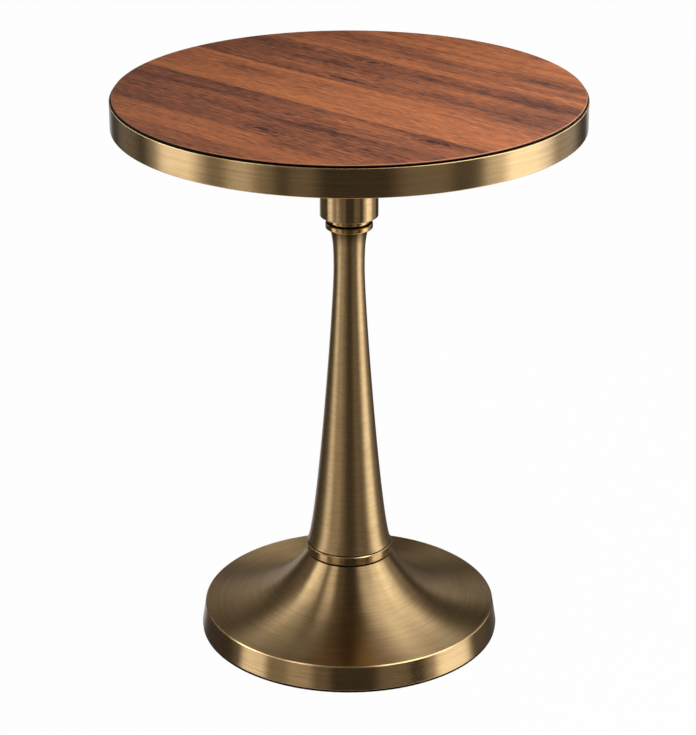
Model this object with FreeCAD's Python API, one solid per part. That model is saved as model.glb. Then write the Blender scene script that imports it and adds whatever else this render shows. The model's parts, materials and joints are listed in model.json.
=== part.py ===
import FreeCAD, Part
import math
import os

# Pedestal table with a round wooden top, in millimetres. The axis of every turned piece is Z,
# and the origin is on the floor under the middle of the table.

# Overall sizes
TABLE_HEIGHT = 747.0
TOP_DIAMETER = 600.0
BASE_DIAMETER = 400.0

# Clearances
FIT_GAP = 0.2
THREAD_GAP = 0.05
SEAM_GAP = 1.4
SEAM_DEPTH = 2.0

# Table top: staves glued edge to edge on a core, with a backing sheet below
STAVE_THICKNESS = 13.0
STAVE_SEAMS = (-198.0, -78.0, 24.0, 132.0, 224.0)
GRAIN_ANGLE = -42.0
PANEL_EDGE_CHAMFER = 1.2
PANEL_GAP = 0.5
WOOD_PROUD = 4.0
CORE_THICKNESS = 24.0
SHEET_THICKNESS = 1.0

# Metal band round the top, with a flange turned in under it
BAND_WALL = 2.0
BAND_FLANGE = 22.0
BAND_LIP_ROUND = 0.8
BAND_BEND_ROUND = 1.1
BAND_SCREW_COUNT = 12
BAND_SCREW_DIAMETER = 3.5
BAND_SCREW_LENGTH = 16.0

# Steel plate and hub that carry the top
PLATE_DIAMETER = 240.0
PLATE_THICKNESS = 5.0
PLATE_EDGE_ROUND = 1.0
PLATE_SCREW_COUNT = 8
PLATE_SCREW_INSET = 20.0
PLATE_SCREW_DIAMETER = 5.0
PLATE_SCREW_LENGTH = 26.0
HUB_HEIGHT = 18.0

# Screws: head and recess sizes as multiples of the shank diameter
SCREW_HEAD_WIDTH = 2.0
SCREW_HEAD_HEIGHT = 0.65
SCREW_RECESS_LENGTH = 1.1
SCREW_RECESS_WIDTH = 0.24
SCREW_RECESS_DEPTH = 0.4
SCREW_TIP_LENGTH = 1.0
SCREW_TIP_WIDTH = 0.3

# Tie rod that clamps the whole pedestal, with its nut and washers
ROD_DIAMETER = 12.0
ROD_CLEARANCE = 0.4
ROD_END_CHAMFER = 1.5
ROD_TAIL = 4.0
NUT_WALL = 3.5
NUT_HEIGHT = 10.0
WASHER_RIM = 6.0
WASHER_THICKNESS = 2.5
LOCK_WASHER_RIM = 4.5
LOCK_WASHER_THICKNESS = 3.0
LOCK_WASHER_SPLIT = 1.5

# Collar and neck rings
COLLAR_DIAMETER = 75.0
COLLAR_LENGTH = 121.0
COLLAR_WALL = 2.0
COLLAR_FLOOR = 4.0
COLLAR_EDGE_ROUND = 1.2
SPOOL_DIAMETER = 57.0
SPOOL_HEIGHT = 5.8
SPOOL_EDGE_ROUND = 1.8
GROOVE_HEIGHT = 2.6
GROOVE_DEPTH = 4.0
BEAD_DIAMETER = 61.2
BEAD_HEIGHT = 7.4
BEAD_EDGE_ROUND = 1.9

# Column: a waisted trumpet; the curve handles are shares of the height of their stretch
COLUMN_TOP_DIAMETER = 49.2
COLUMN_FOOT_DIAMETER = 111.3
COLUMN_WALL = 3.0
COLUMN_TOP_WALL = 8.0
WAIST_DIAMETER = 40.2
WAIST_DROP = 54.0
TOP_FLARE_SLOPE = 0.2
TOP_FLARE_PULL = 0.29
WAIST_PULL_UP = 0.59
WAIST_PULL_DOWN = 0.132
FOOT_FLARE_SLOPE = 0.4
FOOT_FLARE_PULL = 0.082

# Foot ring between the column and the base
FOOT_RING_HEIGHT = 12.2
FOOT_RING_PROUD = 1.5
FOOT_RING_WIDTH = 27.0
FOOT_RING_ROUND = 1.8
SPIGOT_HEIGHT = 4.0

# Base cover: a spun trumpet; the curve handles are shares of the run and drop of the flare
BASE_HEIGHT = 108.8
COVER_WALL = 2.0
NECK_STEP = 0.15
NECK_CHAMFER = 1.2
LIP_WIDTH = 15.8
FLARE_NECK_RUN = 0.21
FLARE_NECK_DROP = 0.52
FLARE_RIM_PULL = 0.61
RIM_HEIGHT = 35.2
RIM_FLAT = 6.0
RIM_ROUND = 1.6
SKIRT_LEAN = 5.0
SKIRT_EDGE_ROUND = 0.6

# Cast ballast inside the base, on a rubber ring with an L section
BALLAST_SIDE_GAP = 5.0
BALLAST_TOP_GAP = 3.2
BALLAST_THICKNESS = 15.0
BALLAST_EDGE_ROUND = 3.0
HUB_TOP_WIDTH = 6.0
HUB_CONE_HEIGHT = 50.0
HUB_CONE_SPREAD = 24.0
NUT_SEAT_RISE = 21.0
NUT_POCKET_GAP = 4.0
RING_HEIGHT = 3.0
RING_INSET = 0.6
RING_SEAT_WIDTH = 12.0
RING_EDGE_ROUND = 0.4

# Levelling feet under the base
FOOT_COUNT = 4
FOOT_INSET = 48.0
FOOT_FIRST_ANGLE = 45.0
FOOT_FLOOR_GAP = 0.5
PAD_DIAMETER = 34.0
PAD_HEIGHT = 7.0
PAD_EDGE_ROUND = 1.5
BALL_DIAMETER = 8.0
BALL_FLOOR = 1.5
STEM_NECK_DIAMETER = 6.0
STEM_DIAMETER = 10.0
STEM_END_GAP = 1.0
STEM_HEX_FLATS = 13.0
STEM_HEX_HEIGHT = 4.0
STEM_HEX_GAP = 0.7
STEM_SLOT_WIDTH = 1.6
STEM_SLOT_DEPTH = 2.5
INSERT_WALL = 3.0
INSERT_FLANGE_RIM = 6.0
INSERT_FLANGE_HEIGHT = 2.0

# Levels worked out from the top down
STAVE_BOTTOM = TABLE_HEIGHT - STAVE_THICKNESS
CORE_BOTTOM = STAVE_BOTTOM - CORE_THICKNESS
UNDERSIDE = CORE_BOTTOM - SHEET_THICKNESS
BAND_TOP = TABLE_HEIGHT - WOOD_PROUD
BAND_BOTTOM = UNDERSIDE - BAND_WALL
PLATE_BOTTOM = UNDERSIDE - PLATE_THICKNESS
COLLAR_BOTTOM = PLATE_BOTTOM - COLLAR_LENGTH
SPOOL_BOTTOM = COLLAR_BOTTOM - SPOOL_HEIGHT
BEAD_TOP = SPOOL_BOTTOM - GROOVE_HEIGHT
COLUMN_TOP = BEAD_TOP - BEAD_HEIGHT

# Levels worked out from the floor up
LIP_BOTTOM = BASE_HEIGHT - COVER_WALL
FOOT_RING_BOTTOM = BASE_HEIGHT + SEAM_GAP
FOOT_RING_TOP = FOOT_RING_BOTTOM + FOOT_RING_HEIGHT
COLUMN_FOOT = FOOT_RING_TOP + SEAM_GAP
BALLAST_TOP = RIM_HEIGHT - COVER_WALL - BALLAST_TOP_GAP
BALLAST_BOTTOM = BALLAST_TOP - BALLAST_THICKNESS
NUT_SEAT = BALLAST_BOTTOM + NUT_SEAT_RISE
WASHER_BOTTOM = NUT_SEAT - WASHER_THICKNESS
LOCK_WASHER_BOTTOM = WASHER_BOTTOM - LOCK_WASHER_THICKNESS
NUT_BOTTOM = LOCK_WASHER_BOTTOM - NUT_HEIGHT
PAD_TOP = FOOT_FLOOR_GAP + PAD_HEIGHT
STEM_HEX_BOTTOM = PAD_TOP + STEM_HEX_GAP
STEM_HEX_TOP = STEM_HEX_BOTTOM + STEM_HEX_HEIGHT
STEM_TOP = RIM_HEIGHT - COVER_WALL - STEM_END_GAP

# Radii that fit one piece to another
TOP_RADIUS = TOP_DIAMETER / 2
BAND_BORE = TOP_RADIUS - BAND_WALL
PANEL_RADIUS = BAND_BORE - PANEL_GAP
CORE_RADIUS = BAND_BORE - FIT_GAP
PLATE_RADIUS = PLATE_DIAMETER / 2
ROD_RADIUS = ROD_DIAMETER / 2
ROD_HOLE = ROD_RADIUS + ROD_CLEARANCE
COLLAR_RADIUS = COLLAR_DIAMETER / 2
COLLAR_BORE = COLLAR_RADIUS - COLLAR_WALL
COLUMN_FOOT_RADIUS = COLUMN_FOOT_DIAMETER / 2
COLUMN_FOOT_BORE = COLUMN_FOOT_RADIUS - COLUMN_WALL
WAIST_RADIUS = WAIST_DIAMETER / 2
WAIST_BORE = WAIST_RADIUS - COLUMN_WALL
SPIGOT_RADIUS = COLUMN_FOOT_BORE - FOOT_FLARE_SLOPE * SPIGOT_HEIGHT - FIT_GAP
FOOT_RING_RADIUS = COLUMN_FOOT_RADIUS + FOOT_RING_PROUD
FOOT_RING_BORE = FOOT_RING_RADIUS - FOOT_RING_WIDTH
NECK_RADIUS = COLUMN_FOOT_RADIUS + NECK_STEP
LIP_BORE = NECK_RADIUS - LIP_WIDTH
BASE_RADIUS = BASE_DIAMETER / 2
RIM_RADIUS = BASE_RADIUS - SKIRT_LEAN
BALLAST_RADIUS = RIM_RADIUS - COVER_WALL - BALLAST_SIDE_GAP
RING_BORE = BALLAST_RADIUS - RING_SEAT_WIDTH
BALLAST_HUB_RADIUS = LIP_BORE + HUB_TOP_WIDTH
FOOT_CIRCLE = BALLAST_RADIUS - FOOT_INSET
STEM_RADIUS = STEM_DIAMETER / 2
INSERT_RADIUS = STEM_RADIUS + INSERT_WALL
BALL_RADIUS = BALL_DIAMETER / 2

UP = FreeCAD.Vector(0, 0, 1)


def spot(radius, height):
    """Point of an outline, in the plane that is turned about the table's axis."""
    return FreeCAD.Vector(radius, 0, height)


def straight(*corners):
    """Straight edges through corners of (radius, height); a third number rounds an inner corner."""
    edges = []
    start = spot(*corners[0][:2])
    for before, here, after in zip(corners, corners[1:], corners[2:]):
        corner = spot(*here[:2])
        if len(here) == 2:
            edges.append(Part.makeLine(start, corner))
            start = corner
            continue
        towards_before = (spot(*before[:2]) - corner).normalize()
        towards_after = (spot(*after[:2]) - corner).normalize()
        half_angle = towards_before.getAngle(towards_after) / 2
        reach = here[2] / math.tan(half_angle)
        bisector = (towards_before + towards_after).normalize()
        arc_start = corner + towards_before * reach
        arc_middle = corner + bisector * (here[2] / math.sin(half_angle) - here[2])
        arc_end = corner + towards_after * reach
        edges.append(Part.makeLine(start, arc_start))
        edges.append(Part.Arc(arc_start, arc_middle, arc_end).toShape())
        start = arc_end
    edges.append(Part.makeLine(start, spot(*corners[-1][:2])))
    return edges


def curve(*poles):
    """One Bezier edge with poles of (radius, height)."""
    bezier = Part.BezierCurve()
    bezier.setPoles([spot(*pole) for pole in poles])
    return [bezier.toShape()]


def turned(*runs):
    """Solid turned about the table's axis from the runs of edges that close one outline."""
    edges = [edge for run in runs for edge in run]
    face = Part.Face(Part.Wire(edges))
    return face.revolve(FreeCAD.Vector(0, 0, 0), UP, 360)


def places_round(radius, count, first_angle=0.0):
    """Evenly spaced places on a circle about the table's axis."""
    places = []
    for step in range(count):
        turn = math.radians(first_angle + 360 * step / count)
        places.append(FreeCAD.Vector(radius * math.cos(turn), radius * math.sin(turn), 0))
    return places


def round_bar(radius, bottom, top):
    """Plain cylinder on the table's axis between two heights."""
    return Part.makeCylinder(radius, top - bottom, FreeCAD.Vector(0, 0, bottom))


def hexagon_bar(flats, bottom, top):
    """Six-sided bar on the table's axis, measured across its flats."""
    corner_radius = flats / 2 / math.cos(math.radians(30))
    corners = [corner + UP * bottom for corner in places_round(corner_radius, 6)]
    outline = Part.makePolygon(corners + corners[:1])
    return Part.Face(outline).extrude(UP * (top - bottom))


def moved(shape, place):
    """Copy of a shape moved by a vector."""
    copy = shape.copy()
    copy.translate(place)
    return copy


def drilled(shape, hole, places):
    """Shape with the same hole cut at every place."""
    return shape.cut([moved(hole, place) for place in places])


def save(name, shape):
    """Write one piece, or one group of like pieces, under its name."""
    shape.exportStep(os.path.join("parts", name + ".step"))


def wood_screw(diameter, length, head_seat):
    """Pan-head screw driven upwards, with the underside of its head at head_seat."""
    shank = diameter / 2
    head = shank * SCREW_HEAD_WIDTH
    head_height = diameter * SCREW_HEAD_HEIGHT
    head_bottom = head_seat - head_height
    tip = head_seat + length
    screw = turned(straight(
        (0, head_bottom),
        (head, head_bottom, head_height * 0.8),
        (head, head_seat),
        (shank, head_seat),
        (shank, tip - diameter * SCREW_TIP_LENGTH),
        (shank * SCREW_TIP_WIDTH, tip),
        (0, tip),
        (0, head_bottom),
    ))
    recess_length = diameter * SCREW_RECESS_LENGTH
    recess_width = diameter * SCREW_RECESS_WIDTH
    recess_depth = diameter * SCREW_RECESS_DEPTH
    arm_corner = FreeCAD.Vector(-recess_length / 2, -recess_width / 2, head_bottom)
    arm = Part.makeBox(recess_length, recess_width, recess_depth, arm_corner)
    cross_arm = arm.copy()
    cross_arm.rotate(FreeCAD.Vector(0, 0, 0), UP, 90)
    return screw.cut([arm, cross_arm])


def screw_hole(diameter, length, head_seat):
    """Hole for a screw whose head is seated at head_seat."""
    return round_bar(diameter / 2 + THREAD_GAP, head_seat, head_seat + length)


def make_staves():
    """Wooden staves of the top, cut from one round panel along the grain."""
    panel = turned(straight(
        (0, STAVE_BOTTOM),
        (PANEL_RADIUS, STAVE_BOTTOM),
        (PANEL_RADIUS, TABLE_HEIGHT - PANEL_EDGE_CHAMFER),
        (PANEL_RADIUS - PANEL_EDGE_CHAMFER, TABLE_HEIGHT),
        (0, TABLE_HEIGHT),
        (0, STAVE_BOTTOM),
    ))
    sides = (-TOP_RADIUS,) + STAVE_SEAMS + (TOP_RADIUS,)
    for number, (near, far) in enumerate(zip(sides, sides[1:]), start=1):
        corner = FreeCAD.Vector(-TOP_RADIUS, near, STAVE_BOTTOM)
        plank = Part.makeBox(TOP_DIAMETER, far - near, STAVE_THICKNESS, corner)
        plank.rotate(FreeCAD.Vector(0, 0, 0), UP, GRAIN_ANGLE)
        save("top_stave_%d" % number, panel.common(plank))


def make_top_support():
    """Core, backing sheet and edge band of the top, with the screws of the band."""
    band_screws = places_round(TOP_RADIUS - BAND_FLANGE / 2, BAND_SCREW_COUNT)
    plate_screws = places_round(PLATE_RADIUS - PLATE_SCREW_INSET, PLATE_SCREW_COUNT)
    band_hole = screw_hole(BAND_SCREW_DIAMETER, BAND_SCREW_LENGTH, BAND_BOTTOM)
    plate_hole = screw_hole(PLATE_SCREW_DIAMETER, PLATE_SCREW_LENGTH, PLATE_BOTTOM)
    for name, bottom, top in (
        ("top_core", CORE_BOTTOM, STAVE_BOTTOM),
        ("backing_sheet", UNDERSIDE, CORE_BOTTOM),
    ):
        disc = round_bar(CORE_RADIUS, bottom, top)
        disc = drilled(disc, band_hole, band_screws)
        save(name, drilled(disc, plate_hole, plate_screws))

    band = turned(straight(
        (TOP_RADIUS - BAND_FLANGE, BAND_BOTTOM),
        (TOP_RADIUS, BAND_BOTTOM, BAND_BEND_ROUND),
        (TOP_RADIUS, BAND_TOP, BAND_LIP_ROUND),
        (BAND_BORE, BAND_TOP, BAND_LIP_ROUND),
        (BAND_BORE, UNDERSIDE),
        (TOP_RADIUS - BAND_FLANGE, UNDERSIDE),
        (TOP_RADIUS - BAND_FLANGE, BAND_BOTTOM),
    ))
    save("edge_band", drilled(band, band_hole, band_screws))
    screw = wood_screw(BAND_SCREW_DIAMETER, BAND_SCREW_LENGTH, BAND_BOTTOM)
    save("band_screws", Part.makeCompound([moved(screw, place) for place in band_screws]))

    plate = turned(straight(
        (0, PLATE_BOTTOM),
        (PLATE_RADIUS, PLATE_BOTTOM, PLATE_EDGE_ROUND),
        (PLATE_RADIUS, UNDERSIDE),
        (0, UNDERSIDE),
        (0, PLATE_BOTTOM),
    ))
    save("mounting_plate", drilled(plate, plate_hole, plate_screws))
    screw = wood_screw(PLATE_SCREW_DIAMETER, PLATE_SCREW_LENGTH, PLATE_BOTTOM)
    save("plate_screws", Part.makeCompound([moved(screw, place) for place in plate_screws]))


def make_neck():
    """Hub under the plate, collar, spool and bead ring, threaded on the tie rod."""
    hub_bottom = PLATE_BOTTOM - HUB_HEIGHT
    hub = round_bar(COLLAR_BORE - FIT_GAP, hub_bottom, PLATE_BOTTOM)
    save("plate_hub", hub.cut(round_bar(ROD_RADIUS + THREAD_GAP, hub_bottom, PLATE_BOTTOM)))

    collar_floor_top = COLLAR_BOTTOM + COLLAR_FLOOR
    save("collar", turned(straight(
        (ROD_HOLE, COLLAR_BOTTOM),
        (COLLAR_RADIUS, COLLAR_BOTTOM, COLLAR_EDGE_ROUND),
        (COLLAR_RADIUS, PLATE_BOTTOM),
        (COLLAR_BORE, PLATE_BOTTOM),
        (COLLAR_BORE, collar_floor_top),
        (ROD_HOLE, collar_floor_top),
        (ROD_HOLE, COLLAR_BOTTOM),
    )))

    spool = SPOOL_DIAMETER / 2
    groove = spool - GROOVE_DEPTH
    save("neck_spool", turned(straight(
        (ROD_HOLE, BEAD_TOP),
        (groove, BEAD_TOP),
        (groove, SPOOL_BOTTOM),
        (spool, SPOOL_BOTTOM, SPOOL_EDGE_ROUND),
        (spool, COLLAR_BOTTOM, SPOOL_EDGE_ROUND),
        (ROD_HOLE, COLLAR_BOTTOM),
        (ROD_HOLE, BEAD_TOP),
    )))

    bead = BEAD_DIAMETER / 2
    save("bead_ring", turned(straight(
        (ROD_HOLE, COLUMN_TOP),
        (bead, COLUMN_TOP, BEAD_EDGE_ROUND),
        (bead, BEAD_TOP, BEAD_EDGE_ROUND),
        (ROD_HOLE, BEAD_TOP),
        (ROD_HOLE, COLUMN_TOP),
    )))


def make_column():
    """Hollow trumpet column, closed at the top round the tie rod."""
    waist = COLUMN_TOP - WAIST_DROP
    trumpet = waist - COLUMN_FOOT
    top_radius = COLUMN_TOP_DIAMETER / 2
    top_pull = WAIST_DROP * TOP_FLARE_PULL
    foot_pull = trumpet * FOOT_FLARE_PULL
    waist_handle = waist - trumpet * WAIST_PULL_DOWN
    foot_handle = COLUMN_FOOT + foot_pull
    cavity_top = COLUMN_TOP - COLUMN_TOP_WALL
    save("column", turned(
        curve(
            (COLUMN_FOOT_RADIUS, COLUMN_FOOT),
            (COLUMN_FOOT_RADIUS - FOOT_FLARE_SLOPE * foot_pull, foot_handle),
            (WAIST_RADIUS, waist_handle),
            (WAIST_RADIUS, waist),
        ),
        curve(
            (WAIST_RADIUS, waist),
            (WAIST_RADIUS, waist + WAIST_DROP * WAIST_PULL_UP),
            (top_radius - TOP_FLARE_SLOPE * top_pull, COLUMN_TOP - top_pull),
            (top_radius, COLUMN_TOP),
        ),
        straight(
            (top_radius, COLUMN_TOP),
            (ROD_HOLE, COLUMN_TOP),
            (ROD_HOLE, cavity_top),
            (WAIST_BORE, cavity_top),
            (WAIST_BORE, waist),
        ),
        curve(
            (WAIST_BORE, waist),
            (WAIST_BORE, waist_handle),
            (COLUMN_FOOT_BORE - FOOT_FLARE_SLOPE * foot_pull, foot_handle),
            (COLUMN_FOOT_BORE, COLUMN_FOOT),
        ),
        straight((COLUMN_FOOT_BORE, COLUMN_FOOT), (COLUMN_FOOT_RADIUS, COLUMN_FOOT)),
    ))


def make_foot_ring():
    """Ring that seats the column on the base, with a shadow groove above and below."""
    upper_seat = COLUMN_FOOT_RADIUS - SEAM_DEPTH
    lower_seat = NECK_RADIUS - NECK_CHAMFER - SEAM_DEPTH
    lip_spigot = LIP_BORE - FIT_GAP
    spigot_top = COLUMN_FOOT + SPIGOT_HEIGHT
    save("foot_ring", turned(straight(
        (FOOT_RING_BORE, LIP_BOTTOM),
        (lip_spigot, LIP_BOTTOM),
        (lip_spigot, BASE_HEIGHT),
        (lower_seat, BASE_HEIGHT),
        (lower_seat, FOOT_RING_BOTTOM),
        (FOOT_RING_RADIUS, FOOT_RING_BOTTOM, FOOT_RING_ROUND),
        (FOOT_RING_RADIUS, FOOT_RING_TOP, FOOT_RING_ROUND),
        (upper_seat, FOOT_RING_TOP),
        (upper_seat, COLUMN_FOOT),
        (SPIGOT_RADIUS, COLUMN_FOOT),
        (SPIGOT_RADIUS, spigot_top),
        (FOOT_RING_BORE, spigot_top),
        (FOOT_RING_BORE, LIP_BOTTOM),
    )))


def make_base_cover():
    """Spun cover of the base: neck lip, flare, rounded rim and leaning skirt."""
    neck_top = BASE_HEIGHT - NECK_CHAMFER
    flare_end = RIM_RADIUS - RIM_FLAT
    run = flare_end - NECK_RADIUS
    drop = neck_top - RIM_HEIGHT
    neck_lean = math.atan2(FLARE_NECK_RUN * run, FLARE_NECK_DROP * drop)
    inward = COVER_WALL * math.cos(neck_lean)
    downward = COVER_WALL * math.sin(neck_lean)
    neck_handle = (NECK_RADIUS + FLARE_NECK_RUN * run, neck_top - FLARE_NECK_DROP * drop)
    rim_handle = flare_end - FLARE_RIM_PULL * run
    inner_neck = (NECK_RADIUS - inward, neck_top - downward)
    inner_handle = (neck_handle[0] - inward, neck_handle[1] - downward)
    inner_rim = RIM_HEIGHT - COVER_WALL
    save("base_cover", turned(
        straight(
            (LIP_BORE, LIP_BOTTOM),
            (LIP_BORE, BASE_HEIGHT),
            (NECK_RADIUS - NECK_CHAMFER, BASE_HEIGHT),
            (NECK_RADIUS, neck_top),
        ),
        curve((NECK_RADIUS, neck_top), neck_handle, (rim_handle, RIM_HEIGHT), (flare_end, RIM_HEIGHT)),
        straight(
            (flare_end, RIM_HEIGHT),
            (RIM_RADIUS, RIM_HEIGHT, RIM_ROUND),
            (BASE_RADIUS, RING_HEIGHT, SKIRT_EDGE_ROUND),
            (BASE_RADIUS - COVER_WALL, RING_HEIGHT),
            (RIM_RADIUS - COVER_WALL, inner_rim),
            (flare_end, inner_rim),
        ),
        curve((flare_end, inner_rim), (rim_handle, inner_rim), inner_handle, inner_neck),
        straight(
            inner_neck,
            (inner_neck[0] - COVER_WALL, LIP_BOTTOM),
            (LIP_BORE, LIP_BOTTOM),
        ),
    ))


def make_ballast(foot_places):
    """Cast ballast with its hub, the rubber ring under it and the inserts for the feet."""
    cone_top = BALLAST_TOP + HUB_CONE_HEIGHT
    pocket = ROD_RADIUS + WASHER_RIM + NUT_POCKET_GAP
    ballast = turned(straight(
        (ROD_HOLE, NUT_SEAT),
        (pocket, NUT_SEAT),
        (pocket, BALLAST_BOTTOM),
        (BALLAST_RADIUS, BALLAST_BOTTOM),
        (BALLAST_RADIUS, BALLAST_TOP, BALLAST_EDGE_ROUND),
        (BALLAST_HUB_RADIUS + HUB_CONE_SPREAD, BALLAST_TOP, BALLAST_EDGE_ROUND),
        (BALLAST_HUB_RADIUS, cone_top, BALLAST_EDGE_ROUND),
        (BALLAST_HUB_RADIUS, LIP_BOTTOM),
        (ROD_HOLE, LIP_BOTTOM),
        (ROD_HOLE, NUT_SEAT),
    ))
    insert_hole = round_bar(INSERT_RADIUS + THREAD_GAP, BALLAST_BOTTOM, BALLAST_TOP)
    save("ballast", drilled(ballast, insert_hole, foot_places))

    ring_radius = BASE_RADIUS - RING_INSET
    save("base_ring", turned(straight(
        (RING_BORE, 0),
        (ring_radius, 0, RING_EDGE_ROUND),
        (ring_radius, RING_HEIGHT),
        (BALLAST_RADIUS, RING_HEIGHT),
        (BALLAST_RADIUS, BALLAST_BOTTOM),
        (RING_BORE, BALLAST_BOTTOM),
        (RING_BORE, 0),
    )))

    insert_bore = STEM_RADIUS + THREAD_GAP
    flange_radius = STEM_RADIUS + INSERT_FLANGE_RIM
    flange_bottom = BALLAST_BOTTOM - INSERT_FLANGE_HEIGHT
    insert = turned(straight(
        (insert_bore, flange_bottom),
        (flange_radius, flange_bottom),
        (flange_radius, BALLAST_BOTTOM),
        (INSERT_RADIUS, BALLAST_BOTTOM),
        (INSERT_RADIUS, BALLAST_TOP),
        (insert_bore, BALLAST_TOP),
        (insert_bore, flange_bottom),
    ))
    save("foot_inserts", Part.makeCompound([moved(insert, place) for place in foot_places]))


def make_feet(foot_places):
    """Levelling feet: a threaded stem with a ball end that turns in a pad."""
    ball_centre = FreeCAD.Vector(0, 0, FOOT_FLOOR_GAP + BALL_FLOOR + BALL_RADIUS)
    pad = turned(straight(
        (0, FOOT_FLOOR_GAP),
        (PAD_DIAMETER / 2, FOOT_FLOOR_GAP, PAD_EDGE_ROUND),
        (PAD_DIAMETER / 2, PAD_TOP, PAD_EDGE_ROUND),
        (0, PAD_TOP),
        (0, FOOT_FLOOR_GAP),
    ))
    pad = pad.cut(Part.makeSphere(BALL_RADIUS + THREAD_GAP, ball_centre))

    slot_corner = FreeCAD.Vector(-STEM_RADIUS, -STEM_SLOT_WIDTH / 2, STEM_TOP - STEM_SLOT_DEPTH)
    slot = Part.makeBox(STEM_DIAMETER, STEM_SLOT_WIDTH, STEM_SLOT_DEPTH, slot_corner)
    stem = Part.makeSphere(BALL_RADIUS, ball_centre)
    stem = stem.fuse([
        round_bar(STEM_NECK_DIAMETER / 2, ball_centre.z, STEM_HEX_BOTTOM),
        hexagon_bar(STEM_HEX_FLATS, STEM_HEX_BOTTOM, STEM_HEX_TOP),
        round_bar(STEM_RADIUS, STEM_HEX_TOP, STEM_TOP),
    ])
    stem = stem.cut(slot)
    for number, place in enumerate(foot_places, start=1):
        save("foot_pad_%d" % number, moved(pad, place))
        save("foot_stem_%d" % number, moved(stem, place))


def make_tie_rod():
    """Rod from the hub under the plate down through the base, with its nut and washers."""
    rod_bottom = NUT_BOTTOM - ROD_TAIL
    chamfered = ROD_RADIUS - ROD_END_CHAMFER
    save("tie_rod", turned(straight(
        (0, rod_bottom),
        (chamfered, rod_bottom),
        (ROD_RADIUS, rod_bottom + ROD_END_CHAMFER),
        (ROD_RADIUS, PLATE_BOTTOM - ROD_END_CHAMFER),
        (chamfered, PLATE_BOTTOM),
        (0, PLATE_BOTTOM),
        (0, rod_bottom),
    )))

    washer = round_bar(ROD_RADIUS + WASHER_RIM, WASHER_BOTTOM, NUT_SEAT)
    save("rod_washer", washer.cut(round_bar(ROD_HOLE, WASHER_BOTTOM, NUT_SEAT)))

    lock_radius = ROD_RADIUS + LOCK_WASHER_RIM
    lock_washer = round_bar(lock_radius, LOCK_WASHER_BOTTOM, WASHER_BOTTOM)
    split_corner = FreeCAD.Vector(0, -LOCK_WASHER_SPLIT / 2, LOCK_WASHER_BOTTOM)
    split = Part.makeBox(lock_radius, LOCK_WASHER_SPLIT, LOCK_WASHER_THICKNESS, split_corner)
    lock_bore = round_bar(ROD_HOLE, LOCK_WASHER_BOTTOM, WASHER_BOTTOM)
    save("rod_lock_washer", lock_washer.cut([lock_bore, split]))

    nut = hexagon_bar(ROD_DIAMETER + 2 * NUT_WALL, NUT_BOTTOM, LOCK_WASHER_BOTTOM)
    save("rod_nut", nut.cut(round_bar(ROD_RADIUS + THREAD_GAP, NUT_BOTTOM, LOCK_WASHER_BOTTOM)))


os.makedirs("parts", exist_ok=True)
foot_places = places_round(FOOT_CIRCLE, FOOT_COUNT, FOOT_FIRST_ANGLE)
make_staves()
make_top_support()
make_neck()
make_column()
make_foot_ring()
make_base_cover()
make_ballast(foot_places)
make_feet(foot_places)
make_tie_rod()
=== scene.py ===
"""Looks of a round pedestal table: walnut staves in a brass band, on a turned brass pedestal."""

import json
import math
from typing import NamedTuple

import bmesh
import bpy
from bpy.props import FloatProperty, FloatVectorProperty, PointerProperty
from bpy.types import Operator, Panel, PropertyGroup
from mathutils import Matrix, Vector

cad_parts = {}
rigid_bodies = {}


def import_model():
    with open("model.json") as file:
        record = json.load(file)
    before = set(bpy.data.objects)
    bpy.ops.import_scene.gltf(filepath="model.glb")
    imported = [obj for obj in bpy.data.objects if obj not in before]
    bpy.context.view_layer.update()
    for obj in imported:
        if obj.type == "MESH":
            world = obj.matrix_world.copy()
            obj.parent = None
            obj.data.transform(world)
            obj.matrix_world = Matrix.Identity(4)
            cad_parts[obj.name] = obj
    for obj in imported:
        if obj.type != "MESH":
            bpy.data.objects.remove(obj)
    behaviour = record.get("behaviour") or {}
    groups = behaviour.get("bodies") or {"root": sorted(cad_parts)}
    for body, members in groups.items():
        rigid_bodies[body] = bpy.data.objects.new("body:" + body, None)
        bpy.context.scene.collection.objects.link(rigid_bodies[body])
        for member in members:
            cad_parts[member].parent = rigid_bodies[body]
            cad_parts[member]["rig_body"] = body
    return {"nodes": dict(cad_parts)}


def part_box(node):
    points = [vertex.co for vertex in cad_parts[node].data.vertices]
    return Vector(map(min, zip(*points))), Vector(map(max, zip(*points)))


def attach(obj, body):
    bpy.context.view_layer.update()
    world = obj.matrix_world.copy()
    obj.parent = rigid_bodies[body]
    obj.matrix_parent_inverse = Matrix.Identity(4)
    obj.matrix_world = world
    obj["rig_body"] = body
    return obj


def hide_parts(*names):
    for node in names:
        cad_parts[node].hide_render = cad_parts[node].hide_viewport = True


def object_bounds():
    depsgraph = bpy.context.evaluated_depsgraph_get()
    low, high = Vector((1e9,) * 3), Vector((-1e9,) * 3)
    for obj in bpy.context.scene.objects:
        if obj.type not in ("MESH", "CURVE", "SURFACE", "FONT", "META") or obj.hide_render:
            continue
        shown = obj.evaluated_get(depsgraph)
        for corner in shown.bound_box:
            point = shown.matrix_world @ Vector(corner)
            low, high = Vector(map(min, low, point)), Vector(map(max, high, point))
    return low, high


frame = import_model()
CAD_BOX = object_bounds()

bl_info = {
    "name": "Pedestal Table",
    "version": (1, 0, 0),
    "blender": (4, 5, 0),
    "location": "View3D > Sidebar > Table",
    "description": "Finishes of a round pedestal table, and the stage that it is shown on",
    "category": "Object",
}

MM = 0.001
RIGHT = (1.0, 0.0, 0.0)
BACK = (0.0, 1.0, 0.0)
UP = (0.0, 0.0, 1.0)
WHITE = (1.0, 1.0, 1.0, 1.0)

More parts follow.
